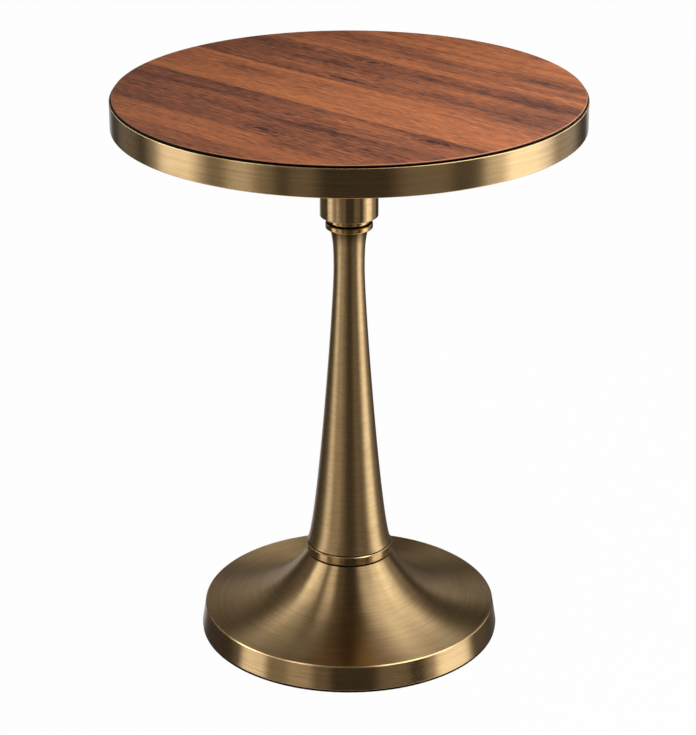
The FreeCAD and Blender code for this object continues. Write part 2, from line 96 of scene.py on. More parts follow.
# Grain of the top: the staves run from the back left to the front right
GRAIN_ANGLE = math.radians(-42.0)
ALONG_GRAIN = (math.cos(GRAIN_ANGLE), math.sin(GRAIN_ANGLE), 0.0)
ACROSS_GRAIN = (-math.sin(GRAIN_ANGLE), math.cos(GRAIN_ANGLE), 0.0)


# Settings that a user would change
def colour(name, description, default):
    """Colour setting, in linear light."""
    return FloatVectorProperty(
        name=name, description=description, default=default, subtype="COLOR", min=0.0, max=1.0
    )


def share(name, description, default):
    """Setting from 0 to 1."""
    return FloatProperty(
        name=name, description=description, default=default, min=0.0, max=1.0, subtype="FACTOR"
    )


def length(name, description, default):
    """Length in metres."""
    return FloatProperty(name=name, description=description, default=default, unit="LENGTH")


class WalnutLook(PropertyGroup):
    """Wood of the staves."""

    deep: colour("Deep", "Streaks and knots", (0.050, 0.020, 0.014))
    dark: colour("Dark", "Dark reddish heartwood", (0.168, 0.062, 0.037))
    warm: colour("Warm", "Middle of the range", (0.300, 0.101, 0.045))
    pale: colour("Pale", "Light orange wood", (0.490, 0.166, 0.062))
    # Painted highlight: a paler wood colour on the rounded rim of the top
    worn: colour("Rim highlight", "Rubbed outer edge of the top", (0.780, 0.360, 0.190))
    # Painted shade: the side of the top next to the band is coloured near black, from some way below
    # its face
    stain: colour("Gap shade", "Black stain on the side, next to the band", (0.006, 0.004, 0.003))
    stain_start: length("Stain start", "How far below the top the stain starts", 0.0014)
    roughness: share("Roughness", "Satin oil finish", 0.38)
    pore_depth: length("Pore depth", "Depth of the open pores", 0.00006)
    rim_round: length("Rim round", "Round on the outer edge of the top", 0.0014)
    arc_step: FloatProperty(
        name="Arc step", description="Turn between points of the rim",
        default=math.radians(1.25), subtype="ANGLE",
    )


class BrassLook(PropertyGroup):
    """Brushed antique brass."""

    base: colour("Brass", "Clean brushed metal", (0.520, 0.324, 0.144))
    patina: colour("Patina", "Browned metal", (0.420, 0.257, 0.112))
    bright: colour("Bright", "Polished rings", (0.560, 0.310, 0.100))
    rubbed: colour("Rubbed", "Edges rubbed bare", (0.820, 0.520, 0.230))
    # Blackened brass, and painted shade, in the grooves, seams and faces under other pieces
    black: colour("Black", "Blackened grooves", (0.006, 0.005, 0.004))
    roughness: share("Roughness", "Spread of the reflections on straight faces", 0.20)
    spun_roughness: share("Spun roughness", "Spread of the reflections on the spun base", 0.33)
    neck_roughness: share("Neck roughness", "Spread of the reflections at the neck of the base", 0.31)
    stretch: share("Stretch", "How far the brushing draws the reflections out", 1.0)
    column_roughness: share("Column roughness", "Spread of the reflections on the column", 0.33)
    column_stretch: share("Column stretch", "How far the brushing draws them out on the column", 0.5)
    # Painted shade: a darker colour on the column's head, under the bead ring, and how far down it
    # reaches
    head_patina: colour("Head shade", "Dark patina under the bead ring", (0.150, 0.090, 0.038))
    head_reach: length("Head reach", "How far that patina reaches down the column", 0.022)
    brush_depth: length("Brush depth", "Depth of the brush lines on straight faces", 0.000003)
    spun_depth: length("Spun depth", "Depth of the tool lines on the spun base", 0.0001)
    rubbed_roughness: share("Rubbed roughness", "Spread of the reflections on rubbed edges", 0.24)
    bright_roughness: share("Bright roughness", "Spread of the reflections on polished rings", 0.15)
    neck_start: length("Neck start", "Radius where the roughness of the neck starts to change", 0.062)
    neck_end: length("Neck end", "Radius where it has become that of the spun base", 0.105)


class BandSizes(PropertyGroup):
    """Brass band round the top."""

    wall: length("Wall", "Thickness of the band", 0.0020)
    flange: length("Flange", "Width of the flange turned in under the top", 0.022)
    lip_round: length("Lip round", "Round on both edges of the lip", 0.0008)
    bend_round: length("Bend round", "Round where the flange is turned in", 0.0011)


class NeckSizes(PropertyGroup):
    """Collar, spool and bead ring."""

    rod_hole: length("Rod hole", "Radius of the hole for the tie rod", 0.0064)
    collar_wall: length("Collar wall", "Thickness of the collar", 0.002)
    collar_floor: length("Collar floor", "Thickness of the collar's floor", 0.004)
    collar_round: length("Collar round", "Round on the collar's lower edge", 0.0006)
    joint_height: length("Joint height", "Height of the dark joint under the collar", 0.0012)
    joint_depth: length("Joint depth", "Depth of that joint", 0.003)
    spool_round: length("Spool round", "Round on both edges of the spool", 0.0017)
    groove_height: length("Groove height", "Height of the groove under the spool", 0.0015)
    groove_depth: length("Groove depth", "Depth of the groove under the spool", 0.004)
    bead_round: length("Bead round", "Round on the bead ring's lower edge", 0.0019)
    bead_chamfer: length("Bead chamfer", "Rubbed chamfer on the bead ring's upper edge", 0.0009)


class ColumnSizes(PropertyGroup):
    """Waisted trumpet column. The curve handles are shares of the height of their stretch."""

    wall: length("Wall", "Thickness of the column", 0.003)
    top_wall: length("Top wall", "Thickness of the closed top", 0.008)
    top_radius: length("Top radius", "Radius at the top", 0.0246)
    waist_radius: length("Waist radius", "Radius at the waist", 0.0201)
    waist_drop: length("Waist drop", "From the top down to the waist", 0.054)
    top_slope: share("Top slope", "Lean of the column at the top", 0.2)
    top_pull: share("Top pull", "Reach of the top's curve handle", 0.29)
    waist_pull_up: share("Waist pull up", "Reach of the waist's upper handle", 0.59)
    waist_pull_down: share("Waist pull down", "Reach of the waist's lower handle", 0.132)
    foot_slope: share("Foot slope", "Lean of the column at the foot", 0.4)
    foot_pull: share("Foot pull", "Reach of the foot's curve handle", 0.082)
    # Painted shade, with blackening at the joint: a black band on the column just under the bead ring
    seam_height: length("Shade line height", "Height of the dark seam under the bead ring", 0.0012)


class FootRingSizes(PropertyGroup):
    """Ring between the column and the base."""

    seam_gap: length("Seam gap", "Height of the dark groove above and below the ring", 0.0014)
    seam_depth: length("Seam depth", "Depth of those grooves", 0.002)
    width: length("Width", "From the ring's outside to its bore", 0.027)
    edge_round: length("Edge round", "Round on the ring's lower edge", 0.0018)
    edge_chamfer: length("Edge chamfer", "Rubbed chamfer on the ring's upper edge", 0.0010)
    spigot_height: length("Spigot height", "How far the ring stands into the column", 0.004)
    fit_gap: length("Fit gap", "Clearance of the spigots", 0.0002)


class BaseSizes(PropertyGroup):
    """Spun base cover. The curve handles are shares of the run and drop of the flare."""

    height: length("Height", "Height of the neck of the base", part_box("base_cover")[1].z)
    wall: length("Wall", "Thickness of the sheet", 0.002)
    neck_step: length("Neck step", "How far the neck stands out from the column's foot", 0.00015)
    neck_chamfer: length("Neck chamfer", "Chamfer at the top of the neck", 0.0012)
    lip_width: length("Lip width", "Width of the lip turned in at the neck", 0.0158)
    neck_run: share("Neck run", "Reach of the neck's curve handle outwards", 0.21)
    neck_drop: share("Neck drop", "Reach of the neck's curve handle downwards", 0.52)
    rim_pull: share("Rim pull", "Reach of the rim's curve handle", 0.61)
    rim_height: length("Rim height", "Height of the rim", 0.0352)
    rim_flat: length("Rim flat", "Flat between the flare and the rim", 0.006)
    rim_chamfer: length("Rim chamfer", "Chamfer of the rim", 0.0013)
    skirt_lean: length("Skirt lean", "How far the skirt leans out", 0.005)
    skirt_round: length("Skirt round", "Round on the skirt's lower edge", 0.0006)


class HiddenLook(PropertyGroup):
    """Colours under the top and inside the base, each named for its finish."""

    black_rubber: colour("Rubber", "Ring under the base", (0.006, 0.006, 0.006))
    black_sheet: colour("Backing sheet", "Black sheet under the top", (0.020, 0.019, 0.018))
    core_board: colour("Core board", "Board under the staves", (0.330, 0.220, 0.120))
    black_steel: colour("Black steel", "Powder-coated plate and hub", (0.018, 0.018, 0.019))
    zinc_steel: colour("Zinc", "Plated rod, nut, screws and stems", (0.560, 0.570, 0.580))
    cast_iron: colour("Cast iron", "Painted ballast", (0.045, 0.046, 0.048))
    nylon_pad: colour("Nylon", "Pads of the feet", (0.030, 0.030, 0.031))


class StageLook(PropertyGroup):
    """Camera, floor and light."""

    camera_place: FloatVectorProperty(
        name="Camera", description="Place of the camera", default=(0.0, -2.9673, 1.6101),
        subtype="TRANSLATION", unit="LENGTH",
    )
    camera_tilt: FloatProperty(
        name="Tilt", description="Camera's turn from looking straight down",
        default=math.radians(67.364), subtype="ANGLE",
    )
    lens: FloatProperty(
        name="Lens", description="Focal length in millimetres", default=120.18, unit="CAMERA"
    )
    shift: FloatProperty(
        name="Shift", description="Sideways shift of the picture", default=-0.00154
    )
    sky: share("Sky", "Soft light from all round, where 1 is white", 0.18)
    lamp: FloatProperty(
        name="Lamp", description="Power of the lamp over the table", default=5.2, min=0.0, unit="POWER"
    )
    lamp_width: length("Lamp width", "Diameter of the lamp over the table", 0.72)
    lamp_place: FloatVectorProperty(
        name="Lamp place", description="Place of the lamp, to the right of the viewer",
        default=(0.21, -0.15, 1.28), subtype="TRANSLATION", unit="LENGTH",
    )
    floor: colour("Floor", "Pale floor", (0.9, 0.9, 0.9))
    floor_glow: share("Floor glow", "How much of the floor is plain white", 0.985)
    tent_radius: length("Tent radius", "Radius of the light tent", 1.2)


class PedestalTable(PropertyGroup):
    """All settings of the table."""

    walnut: PointerProperty(type=WalnutLook, name="Walnut", description="Wood of the staves")
    brass: PointerProperty(type=BrassLook, name="Brass", description="Brushed antique brass")
    band: PointerProperty(type=BandSizes, name="Band", description="Brass band round the top")
    neck: PointerProperty(type=NeckSizes, name="Neck", description="Collar, spool and bead ring")
    column: PointerProperty(type=ColumnSizes, name="Column", description="Waisted trumpet column")
    foot_ring: PointerProperty(type=FootRingSizes, name="Foot ring", description="Ring on the base")
    base: PointerProperty(type=BaseSizes, name="Base", description="Spun base cover")
    hidden: PointerProperty(type=HiddenLook, name="Hidden", description="Colours out of sight")
    stage: PointerProperty(type=StageLook, name="Stage", description="Camera, floor and light")


# Shader expressions
class Value:
    """Output of a shader node. Arithmetic on it adds the Math nodes of the expression."""

    def __init__(self, tree, socket):
        self.tree = tree
        self.socket = socket

    def __add__(self, other):
        return self.tree.math("ADD", self, other)

    def __radd__(self, other):
        return self.tree.math("ADD", other, self)

    def __sub__(self, other):
        return self.tree.math("SUBTRACT", self, other)

    def __rsub__(self, other):
        return self.tree.math("SUBTRACT", other, self)

    def __mul__(self, other):
        return self.tree.math("MULTIPLY", self, other)

    def __rmul__(self, other):
        return self.tree.math("MULTIPLY", other, self)

    def __truediv__(self, other):
        return self.tree.math("DIVIDE", self, other)

    def __rtruediv__(self, other):
        return self.tree.math("DIVIDE", other, self)

    def __pow__(self, other):
        return self.tree.math("POWER", self, other)

    def __rpow__(self, other):
        return self.tree.math("POWER", other, self)


class ShaderTree:
    """Node tree of a material or of the world."""

    def __init__(self, owner):
        owner.use_nodes = True
        self.nodes = owner.node_tree.nodes
        self.links = owner.node_tree.links
        self.nodes.clear()

    def node(self, kind, settings=None, sockets=None, output=0):
        """Add a node: its settings first, then the values or links of its sockets."""
        node = self.nodes.new(kind)
        for name, setting in (settings or {}).items():
            if name == "stops":
                set_stops(node.color_ramp, setting)
            else:
                setattr(node, name, setting)
        for key, value in (sockets or {}).items():
            if isinstance(value, Value):
                self.links.new(value.socket, node.inputs[key])
            else:
                node.inputs[key].default_value = value
        return Value(self, node.outputs[output]) if node.outputs else None

    def math(self, operation, *inputs):
        """Math node on values or numbers."""
        return self.node("ShaderNodeMath", {"operation": operation}, dict(enumerate(inputs)))

    def dot(self, vector, direction):
        """Share of a vector along a direction."""
        sockets = {0: vector, 1: direction}
        return self.node("ShaderNodeVectorMath", {"operation": "DOT_PRODUCT"}, sockets, "Value")

    def vector(self, x, y, z):
        """Vector of three values."""
        return self.node("ShaderNodeCombineXYZ", None, {"X": x, "Y": y, "Z": z})

    def scaled(self, vector, factor):
        """Vector times a number."""
        sockets = {0: vector, "Scale": factor}
        return self.node("ShaderNodeVectorMath", {"operation": "SCALE"}, sockets)

    def mix(self, factor, first, second):
        """Mix of two colours."""
        sockets = {0: factor, 6: first, 7: second}
        return self.node("ShaderNodeMix", {"data_type": "RGBA"}, sockets, 2)

    def rise(self, value, low, high):
        """Smooth step from 0 at low to 1 at high."""
        settings = {"interpolation_type": "SMOOTHSTEP"}
        return self.node("ShaderNodeMapRange", settings, {0: value, 1: low, 2: high})

    def noise(self, place, detail, roughness, scale=1.0):
        """Noise about 0, with as many features to the unit of place as the scale says."""
        sockets = {"Vector": place, "Scale": scale, "Detail": detail, "Roughness": roughness}
        return self.node("ShaderNodeTexNoise", None, sockets) - 0.5

    def place(self):
        """Place on the piece, in metres."""
        return self.node("ShaderNodeTexCoord", None, None, "Object")

    def coordinates(self):
        """Place on the piece to the right, to the back and upwards, in metres."""
        place = self.place()
        return [self.dot(place, axis) for axis in (RIGHT, BACK, UP)]

    def bump(self, height, depth):
        """Normal of a surface whose height is in shares of a depth in metres."""
        return self.node("ShaderNodeBump", None, {"Height": height, "Distance": depth})

    def surface(self, **sockets):
        """Principled surface as the material's result."""
        named = {name.replace("_", " ").title().replace("Ior", "IOR"): value
                 for name, value in sockets.items()}
        shader = self.node("ShaderNodeBsdfPrincipled", None, named, "BSDF")
        self.node("ShaderNodeOutputMaterial", None, {"Surface": shader})


def set_stops(ramp, stops):
    """Give a colour ramp its stops of (position, colour)."""
    while len(ramp.elements) < len(stops):
        ramp.elements.new(1.0)
    for element, (position, stop_colour) in zip(ramp.elements, stops):
        element.position = position
        element.color = stop_colour


def opaque(linear_colour):
    """Colour with full alpha, as the colour sockets take it."""
    return (*linear_colour, 1.0)


def new_finish(name):
    """Empty material and its node tree."""
    material = bpy.data.materials.new(name)
    return material, ShaderTree(material)


def finish_piece(piece, node, finishes):
    """Let a new piece stand for a node of the frame, in its finishes and on its body."""
    for finish in finishes:
        piece.data.materials.append(finish)
    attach(piece, frame["nodes"][node]["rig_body"])
    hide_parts(node)


# Meshes and objects
SMOOTH_ANGLE = math.radians(35.0)


def finished_mesh(builder, name):
    """Mesh of what a builder holds, which ends the builder."""
    mesh = bpy.data.meshes.new(name)
    builder.to_mesh(mesh)
    builder.free()
    return mesh


def add_object(name, data):
    """Object in the scene, from a mesh, a camera or a lamp."""
    added = bpy.data.objects.new(name, data)
    bpy.context.scene.collection.objects.link(added)
    return added


def round_ring(builder, radius, height, steps):
    """Ring of points round the table's axis."""
    turns = [2.0 * math.pi * i / steps for i in range(steps)]
    return [builder.verts.new((radius * math.cos(turn), radius * math.sin(turn), height))
            for turn in turns]


def join_rings(builder, below, above, finish=0):
    """Faces from one ring of points to the next, in one of the piece's finishes."""
    for i, point in enumerate(below):
        j = (i + 1) % len(below)
        face = builder.faces.new((point, below[j], above[j], above[i]))
        face.material_index = finish


def new_piece(name, builder):
    """Piece from a builder, shaded smooth with sharp edges past an angle."""
    bmesh.ops.recalc_face_normals(builder, faces=builder.faces)
    for face in builder.faces:
        face.smooth = True
    mesh = finished_mesh(builder, name)
    mesh.set_sharp_from_angle(angle=SMOOTH_ANGLE)
    piece = add_object(name, mesh)
    weighting = piece.modifiers.new("even_shading", "WEIGHTED_NORMAL")
    weighting.keep_sharp = True
    return piece


# Walnut staves
class Knot(NamedTuple):
    """Knot in a stave: its place and size along and across the grain, in millimetres."""

    along: float
    across: float
    long: float
    wide: float


class Band(NamedTuple):
    """Lighter or darker band along a stave: its middle across the grain, half width and tone."""

    across: float
    half_width: float
    tone: float


class Flame(NamedTuple):
    """Lighter or darker flame in the grain: its middle, half length, half width and tone."""

    along: float
    across: float
    long: float
    wide: float
    tone: float


class Stave(NamedTuple):
    """Tone of a stave from 0, dark, to 1, pale, and what grows in it."""

    node: str
    tone: float
    bands: tuple
    flames: tuple
    knots: tuple


STAVES = (
    Stave(
        "top_stave_1", 0.62,
        (Band(-288.0, 20.0, -0.10), Band(-232.0, 12.0, 0.08), Band(-199.0, 6.0, -0.10)),
        (
            Flame(-80.0, -216.0, 150.0, 10.0, 0.12), Flame(130.0, -214.0, 80.0, 8.0, -0.22),
            Flame(-20.0, -262.0, 110.0, 10.0, -0.10),
        ),
        (),
    ),
    Stave(
        "top_stave_2", 0.43,
        (Band(-104.0, 5.0, 0.07), Band(-80.0, 5.0, -0.03)),
        (
            Flame(-150.0, -81.0, 150.0, 7.0, -0.14), Flame(150.0, -129.0, 60.0, 4.0, 0.20),
            Flame(64.0, -140.0, 60.0, 14.0, -0.10), Flame(-140.0, -192.0, 110.0, 4.0, -0.16),
            Flame(110.0, -175.0, 90.0, 5.0, 0.10), Flame(-60.0, -125.0, 120.0, 5.0, 0.08),
        ),
        (Knot(211.0, -93.0, 20.0, 9.0), Knot(34.0, -189.0, 24.0, 9.0)),
    ),
    Stave(
        "top_stave_3", 0.72,
        (Band(19.0, 3.0, 0.14), Band(10.0, 2.5, 0.08), Band(-40.0, 12.0, 0.08)),
        (
            Flame(-165.0, -10.0, 70.0, 12.0, -0.34), Flame(-40.0, -8.0, 90.0, 10.0, -0.14),
            Flame(75.0, -18.0, 80.0, 8.0, -0.12), Flame(200.0, -8.0, 90.0, 12.0, -0.14),
            Flame(-50.0, -24.0, 25.0, 4.0, -0.15), Flame(-30.0, -60.0, 140.0, 10.0, 0.06),
        ),
        (),
    ),
    Stave(
        "top_stave_4", 0.43,
        (Band(114.0, 16.0, -0.09), Band(84.0, 4.0, -0.04), Band(50.0, 16.0, 0.10)),
        (
            Flame(-95.0, 66.0, 110.0, 3.5, 0.24), Flame(40.0, 69.0, 70.0, 3.0, 0.16),
            Flame(-200.0, 32.0, 60.0, 5.0, 0.14), Flame(-240.0, 108.0, 70.0, 18.0, -0.08),
            Flame(90.0, 86.0, 110.0, 14.0, 0.08), Flame(220.0, 110.0, 70.0, 18.0, -0.06),
            Flame(250.0, 60.0, 50.0, 30.0, -0.08),
            Flame(173.0, 52.0, 90.0, 5.0, -0.12), Flame(245.0, 38.0, 60.0, 5.0, -0.14),
        ),
        (Knot(-67.0, 121.0, 15.0, 8.0), Knot(-37.0, 38.0, 40.0, 5.0)),
    ),
    Stave(
        "top_stave_5", 0.58,
        (Band(144.0, 9.0, 0.13), Band(220.0, 6.0, 0.08)),
        (
            Flame(25.0, 207.0, 75.0, 13.0, 0.26), Flame(-25.0, 181.0, 85.0, 12.0, -0.22),
            Flame(170.0, 195.0, 60.0, 22.0, -0.14), Flame(-150.0, 220.0, 40.0, 6.0, -0.16),
            Flame(200.0, 208.0, 20.0, 4.0, 0.16), Flame(-40.0, 208.0, 30.0, 4.0, -0.12),
            Flame(-200.0, 180.0, 60.0, 14.0, 0.05),
        ),
        (),
    ),
    Stave(
        "top_stave_6", 0.76,
        (Band(236.0, 6.0, 0.05), Band(258.0, 10.0, 0.04), Band(288.0, 12.0, -0.08)),
        (
            Flame(-60.0, 266.0, 50.0, 3.0, -0.26), Flame(62.0, 273.0, 60.0, 7.0, -0.18),
            Flame(-150.0, 235.0, 80.0, 5.0, 0.06),
        ),
        (),
    ),
)


class Layer(NamedTuple):
    """Layer of the grain: the length and width of its marks in millimetres, the start of its
    pattern, how strongly it shows, and how finely it is broken up."""

    long: float
    wide: float
    start: float
    weight: float
    detail: float = 1.0
    roughness: float = 0.5


# How far the grain wanders, in millimetres, and how far it slants for each millimetre down
WANDER = Layer(230.0, 60.0, 0.0, 18.0)
WAVER = Layer(60.0, 24.0, 1.0, 3.0)
SLANT = 0.4

# What lightens and darkens the wood, and the noise levels where flecks and pores fade in
BROAD = Layer(420.0, 26.0, 3.0, 0.90, detail=2.0)
STREAKS = Layer(420.0, 5.0, 5.0, 0.25, detail=3.0, roughness=0.65)
LINES = Layer(260.0, 3.2, 6.0, 0.40)
FIBRES = Layer(64.0, 2.3, 7.0, 0.85)
TICKS = Layer(17.0, 1.4, 11.0, 1.40)
FLECKS = Layer(24.0, 3.0, 8.0, 0.16)
PORES = Layer(7.0, 0.6, 9.0, 0.12)
FLECK_LEVELS = (0.05, 0.20)
PORE_LEVELS = (0.10, 0.20)

# How far apart the patterns of two neighbouring staves start
PATTERN_STEP = 17.0

# Where a knot, its heart, a band and a flame fade out, in sizes of each, the flame's squared
KNOT_EDGE = (0.2, 3.2)
HEART_EDGE = (0.10, 0.80)
BAND_EDGE = (0.3, 1.2)
FLAME_EDGE = (0.0, 1.3)

# How knots bend the grain, how close their rings are, and how dark each part of them is
KNOT_BEND = 0.7
KNOT_RING_PACE = 11.0
HEART_SHADE = 0.34
KNOT_SHADE = 0.15
RING_SHADE = 0.13

# Tones of the dark and warm wood, and the surface
DARK_TONE = 0.32
WARM_TONE = 0.62
WALNUT_GLOSS = 0.04
FIBRE_ROUGHNESS = 0.20
PORE_ROUGHNESS = 0.15
FIBRE_RELIEF = 0.5
PORE_RELIEF = 0.5

# Rim: how far inside it the painted highlight starts and is full, how strong it is, and how soft the
# painted shade on the side is
HIGHLIGHT_START = 1.0
HIGHLIGHT_FULL = 0.5
HIGHLIGHT_SHARE = 0.8
GAP_SHADE_SOFT = 0.3


def layer_noise(tree, layer, number, along, across):
    """Noise of one layer of a numbered stave's grain, drawn out along it."""
    place = tree.vector(along / layer.long, across / layer.wide, PATTERN_STEP * number + layer.start)
    return tree.noise(place, layer.detail, layer.roughness)


def bend_round_knots(tree, along, across, knots):
    """Place across the grain where it bends round the knots, and how much they darken it."""
    bent = across
    shade = 0.0
    for knot in knots:
        forward = (along - knot.along) / knot.long
        aside = (across - knot.across) / knot.wide
        distance = (forward * forward + aside * aside) ** 0.5
        near = 1 - tree.rise(distance, *KNOT_EDGE)
        heart = 1 - tree.rise(distance, *HEART_EDGE)
        rings = tree.math("SINE", distance * KNOT_RING_PACE) * near
        bent = bent - near * aside * (KNOT_BEND * knot.wide)
        shade = shade + heart * HEART_SHADE + near * KNOT_SHADE + rings * RING_SHADE
    return bent, shade


def figure_tone(tree, along, grain, stave):
    """Tone of a stave with its bands and flames."""
    tone = stave.tone
    for band in stave.bands:
        aside = tree.math("ABSOLUTE", grain - band.across) / band.half_width
        tone = tone + (1 - tree.rise(aside, *BAND_EDGE)) * band.tone
    for flame in stave.flames:
        forward = (along - flame.along) / flame.long
        aside = (grain - flame.across) / flame.wide
        tone = tone + (1 - tree.rise(forward * forward + aside * aside, *FLAME_EDGE)) * flame.tone
    return tone


def walnut_finish(look, number, stave, top_radius):
    """Oiled walnut whose bands, streaks, fibres and pores bend round the knots."""
    finish, tree = new_finish(stave.node.replace("top", "walnut"))
    place = tree.place()
    along = tree.dot(place, ALONG_GRAIN) / MM
    across = tree.dot(place, ACROSS_GRAIN) / MM
    depth = (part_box(stave.node)[1].z - tree.dot(place, UP)) / MM

    bent, knot_shade = bend_round_knots(tree, along, across, stave.knots)
    grain = bent + depth * SLANT
    for layer in (WANDER, WAVER):
        grain = grain + layer_noise(tree, layer, number, along, bent) * layer.weight
    fibres = layer_noise(tree, FIBRES, number, along, grain)
    flecks = tree.rise(layer_noise(tree, FLECKS, number, along, grain), *FLECK_LEVELS)
    pores = tree.rise(layer_noise(tree, PORES, number, along, grain), *PORE_LEVELS)
    tone = figure_tone(tree, along, grain, stave) + fibres * FIBRES.weight
    for layer in (BROAD, STREAKS, LINES, TICKS):
        tone = tone + layer_noise(tree, layer, number, along, grain) * layer.weight
    tone = tone - knot_shade - flecks * FLECKS.weight - pores * PORES.weight

    stops = (
        (0.0, opaque(look.deep)), (DARK_TONE, opaque(look.dark)),
        (WARM_TONE, opaque(look.warm)), (1.0, opaque(look.pale)),
    )
    wood = tree.node("ShaderNodeValToRGB", {"stops": stops}, {"Fac": tone})
    from_middle = (along * along + across * across) ** 0.5
    rim = top_radius / MM
    # Painted highlight: the wood turns paler on the rounded rim of the top
    worn = tree.rise(from_middle, rim - HIGHLIGHT_START, rim - HIGHLIGHT_FULL) * HIGHLIGHT_SHARE
    # Painted shade: below that depth the side of the top goes near black, next to the band
    stain_start = look.stain_start / MM
    gap_shaded = tree.rise(depth, stain_start - GAP_SHADE_SOFT, stain_start + GAP_SHADE_SOFT)
    outside = tree.mix(worn, wood, opaque(look.worn))
    tree.surface(
        base_color=tree.mix(gap_shaded, outside, opaque(look.stain)),
        roughness=look.roughness + fibres * FIBRE_ROUGHNESS + pores * PORE_ROUGHNESS,
        specular_ior_level=WALNUT_GLOSS,
        normal=tree.bump(fibres * FIBRE_RELIEF - pores * PORE_RELIEF, look.pore_depth),
    )
    return finish


# Shape of the staves: the steps of the rim's round, and the share of the radius where seams end
RIM_STEPS = 6
NEARLY_RIM = 0.99


def across_span(node):
    """Lowest and highest place of a node across the grain."""
    direction = Vector(ACROSS_GRAIN)
    places = [vertex.co.dot(direction) for vertex in frame["nodes"][node].data.vertices]
    return min(places), max(places)


def stave_ring(near, far, radius, count):
    """Outline of a stave at one level: two arcs of the round top, joined by the seams."""
    turn_near = math.asin(max(near / radius, -1.0))
    turn_far = math.asin(min(far / radius, 1.0))
    right = [turn_near + (turn_far - turn_near) * i / count for i in range(count + 1)]
    left = [math.pi - turn for turn in reversed(right)]
    if far >= radius:
        left = left[1:]
    if near <= -radius:
        left = left[:-1]
    outline = []
    for turn in right + left:
        direction = math.cos(turn) * Vector(ALONG_GRAIN) + math.sin(turn) * Vector(ACROSS_GRAIN)
        outline.append(radius * direction)
    return outline


def make_stave(look, number, stave, radius):
    """One stave: flat faces, straight seams and a rounded outer edge."""
    near, far = (side if abs(side) < NEARLY_RIM * radius else math.copysign(radius, side)
                 for side in across_span(stave.node))
    low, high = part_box(stave.node)
    count = math.ceil((math.asin(far / radius) - math.asin(near / radius)) / look.arc_step)
    levels = [(radius, low.z)]
    for i in range(RIM_STEPS + 1):
        turn = math.radians(90.0 * i / RIM_STEPS)
        levels.append((
            radius - look.rim_round * (1.0 - math.cos(turn)),
            high.z - look.rim_round * (1.0 - math.sin(turn)),
        ))
    builder = bmesh.new()
    rings = []
    for ring_radius, height in levels:
        points = stave_ring(near, far, ring_radius, count)
        rings.append([builder.verts.new((point.x, point.y, height)) for point in points])
    for below, above in zip(rings, rings[1:]):
        join_rings(builder, below, above)
    builder.faces.new(rings[0])
    builder.faces.new(rings[-1])
    piece = new_piece("walnut_stave_%d" % number, builder)
    finish_piece(piece, stave.node, [walnut_finish(look, number, stave, radius)])


# Turned brass: finishes of a piece in the order of its material slots
# GROOVE is the blackened finish, which is also painted shade in the places it is put
FACE, EDGE, GROOVE, POLISHED, SPUN = range(5)

# Steps of a rounded edge, a curve and a whole turn, and how near two points are the same
ROUND_STEPS = 8
CURVE_STEPS = 64
TURN_STEPS = 256
SAME_POINT = 1e-7


def straight(*corners, finish=FACE, edge=EDGE):
    """Straight stretches through corners of (radius, height). A third number rounds the corner,
    and the round has the finish of the edge."""
    points = [(*corners[0][:2], finish)]
    for before, here, after in zip(corners, corners[1:], corners[2:]):
        if len(here) == 2:
            points.append((*here, finish))
        else:
            points.extend(rounded_corner(Vector(before[:2]), Vector(here[:2]), Vector(after[:2]),
                                         here[2], finish, edge))
    points.append((*corners[-1][:2], finish))
    return points


def rounded_corner(before, corner, after, radius, finish, edge):
    """Arc that rounds a corner, starting at the end of the stretch before it."""
    to_before = (before - corner).normalized()
    to_after = (after - corner).normalized()
    half_angle = to_before.angle(to_after) / 2
    bisector = (to_before + to_after).normalized()
    centre = corner + bisector * (radius / math.sin(half_angle))
    reach = radius / math.tan(half_angle)
    start = corner + to_before * reach
    first = (start - centre).normalized()
    last = (corner + to_after * reach - centre).normalized()
    points = [(*start, finish)]
    for i in range(1, ROUND_STEPS + 1):
        points.append((*(centre + radius * first.slerp(last, i / ROUND_STEPS)), edge))
    return points


def curve(first, first_handle, last_handle, last, steps=CURVE_STEPS, finish=FACE):
    """Bezier stretch with ends and handles of (radius, height)."""
    poles = [Vector(pole) for pole in (first, first_handle, last_handle, last)]
    points = []
    for i in range(steps + 1):
        t = i / steps
        weights = ((1 - t) ** 3, 3 * t * (1 - t) ** 2, 3 * t * t * (1 - t), t ** 3)
        point = sum((pole * weight for pole, weight in zip(poles, weights)), Vector((0.0, 0.0)))
        points.append((*point, finish))
    return points


def apart(first, second):
    """Whether two points of an outline are apart."""
    return math.dist(first[:2], second[:2]) > SAME_POINT


def turned_piece(name, *stretches):
    """Piece turned about the table's axis from the stretches of its closed outline."""
    outline = []
    for point in (point for stretch in stretches for point in stretch):
        if not outline or apart(point, outline[-1]):
            outline.append(point)
    if not apart(outline[0], outline[-1]):
        outline[0] = outline.pop()
    builder = bmesh.new()
    rings = [round_ring(builder, radius, height, TURN_STEPS) for radius, height, _ in outline]
    for i, (_, _, finish) in enumerate(outline):
        join_rings(builder, rings[i - 1], rings[i], finish)
    return new_piece(name, builder)


# Brass finishes
class BrushLines(NamedTuple):
    """Lines round the axis: how often they break on the way round, their width in millimetres,
    and how finely they are broken up."""

    breaks: float
    wide: float
    detail: float
    roughness: float


BROAD_LINES = BrushLines(2.5, 1.8, 3.0, 0.6)
FINE_LINES = BrushLines(5.0, 0.9, 2.0, 0.5)
TOOL_LINES = BrushLines(2.0, 4.0, 2.0, 0.6)

# Turn of the reflections, which the brushing draws out across its lines
QUARTER_TURN = 0.25

# How browned the brass is, and what clouds and lines add to that and to the roughness
BROWNED = 0.35
CLOUD_BROWNING = 1.1
BROAD_LINE_BROWNING = 2.2
TOOL_LINE_BROWNING = 2.0
CLOUD_ROUGHNESS = 0.03
BROAD_LINE_ROUGHNESS = 0.06

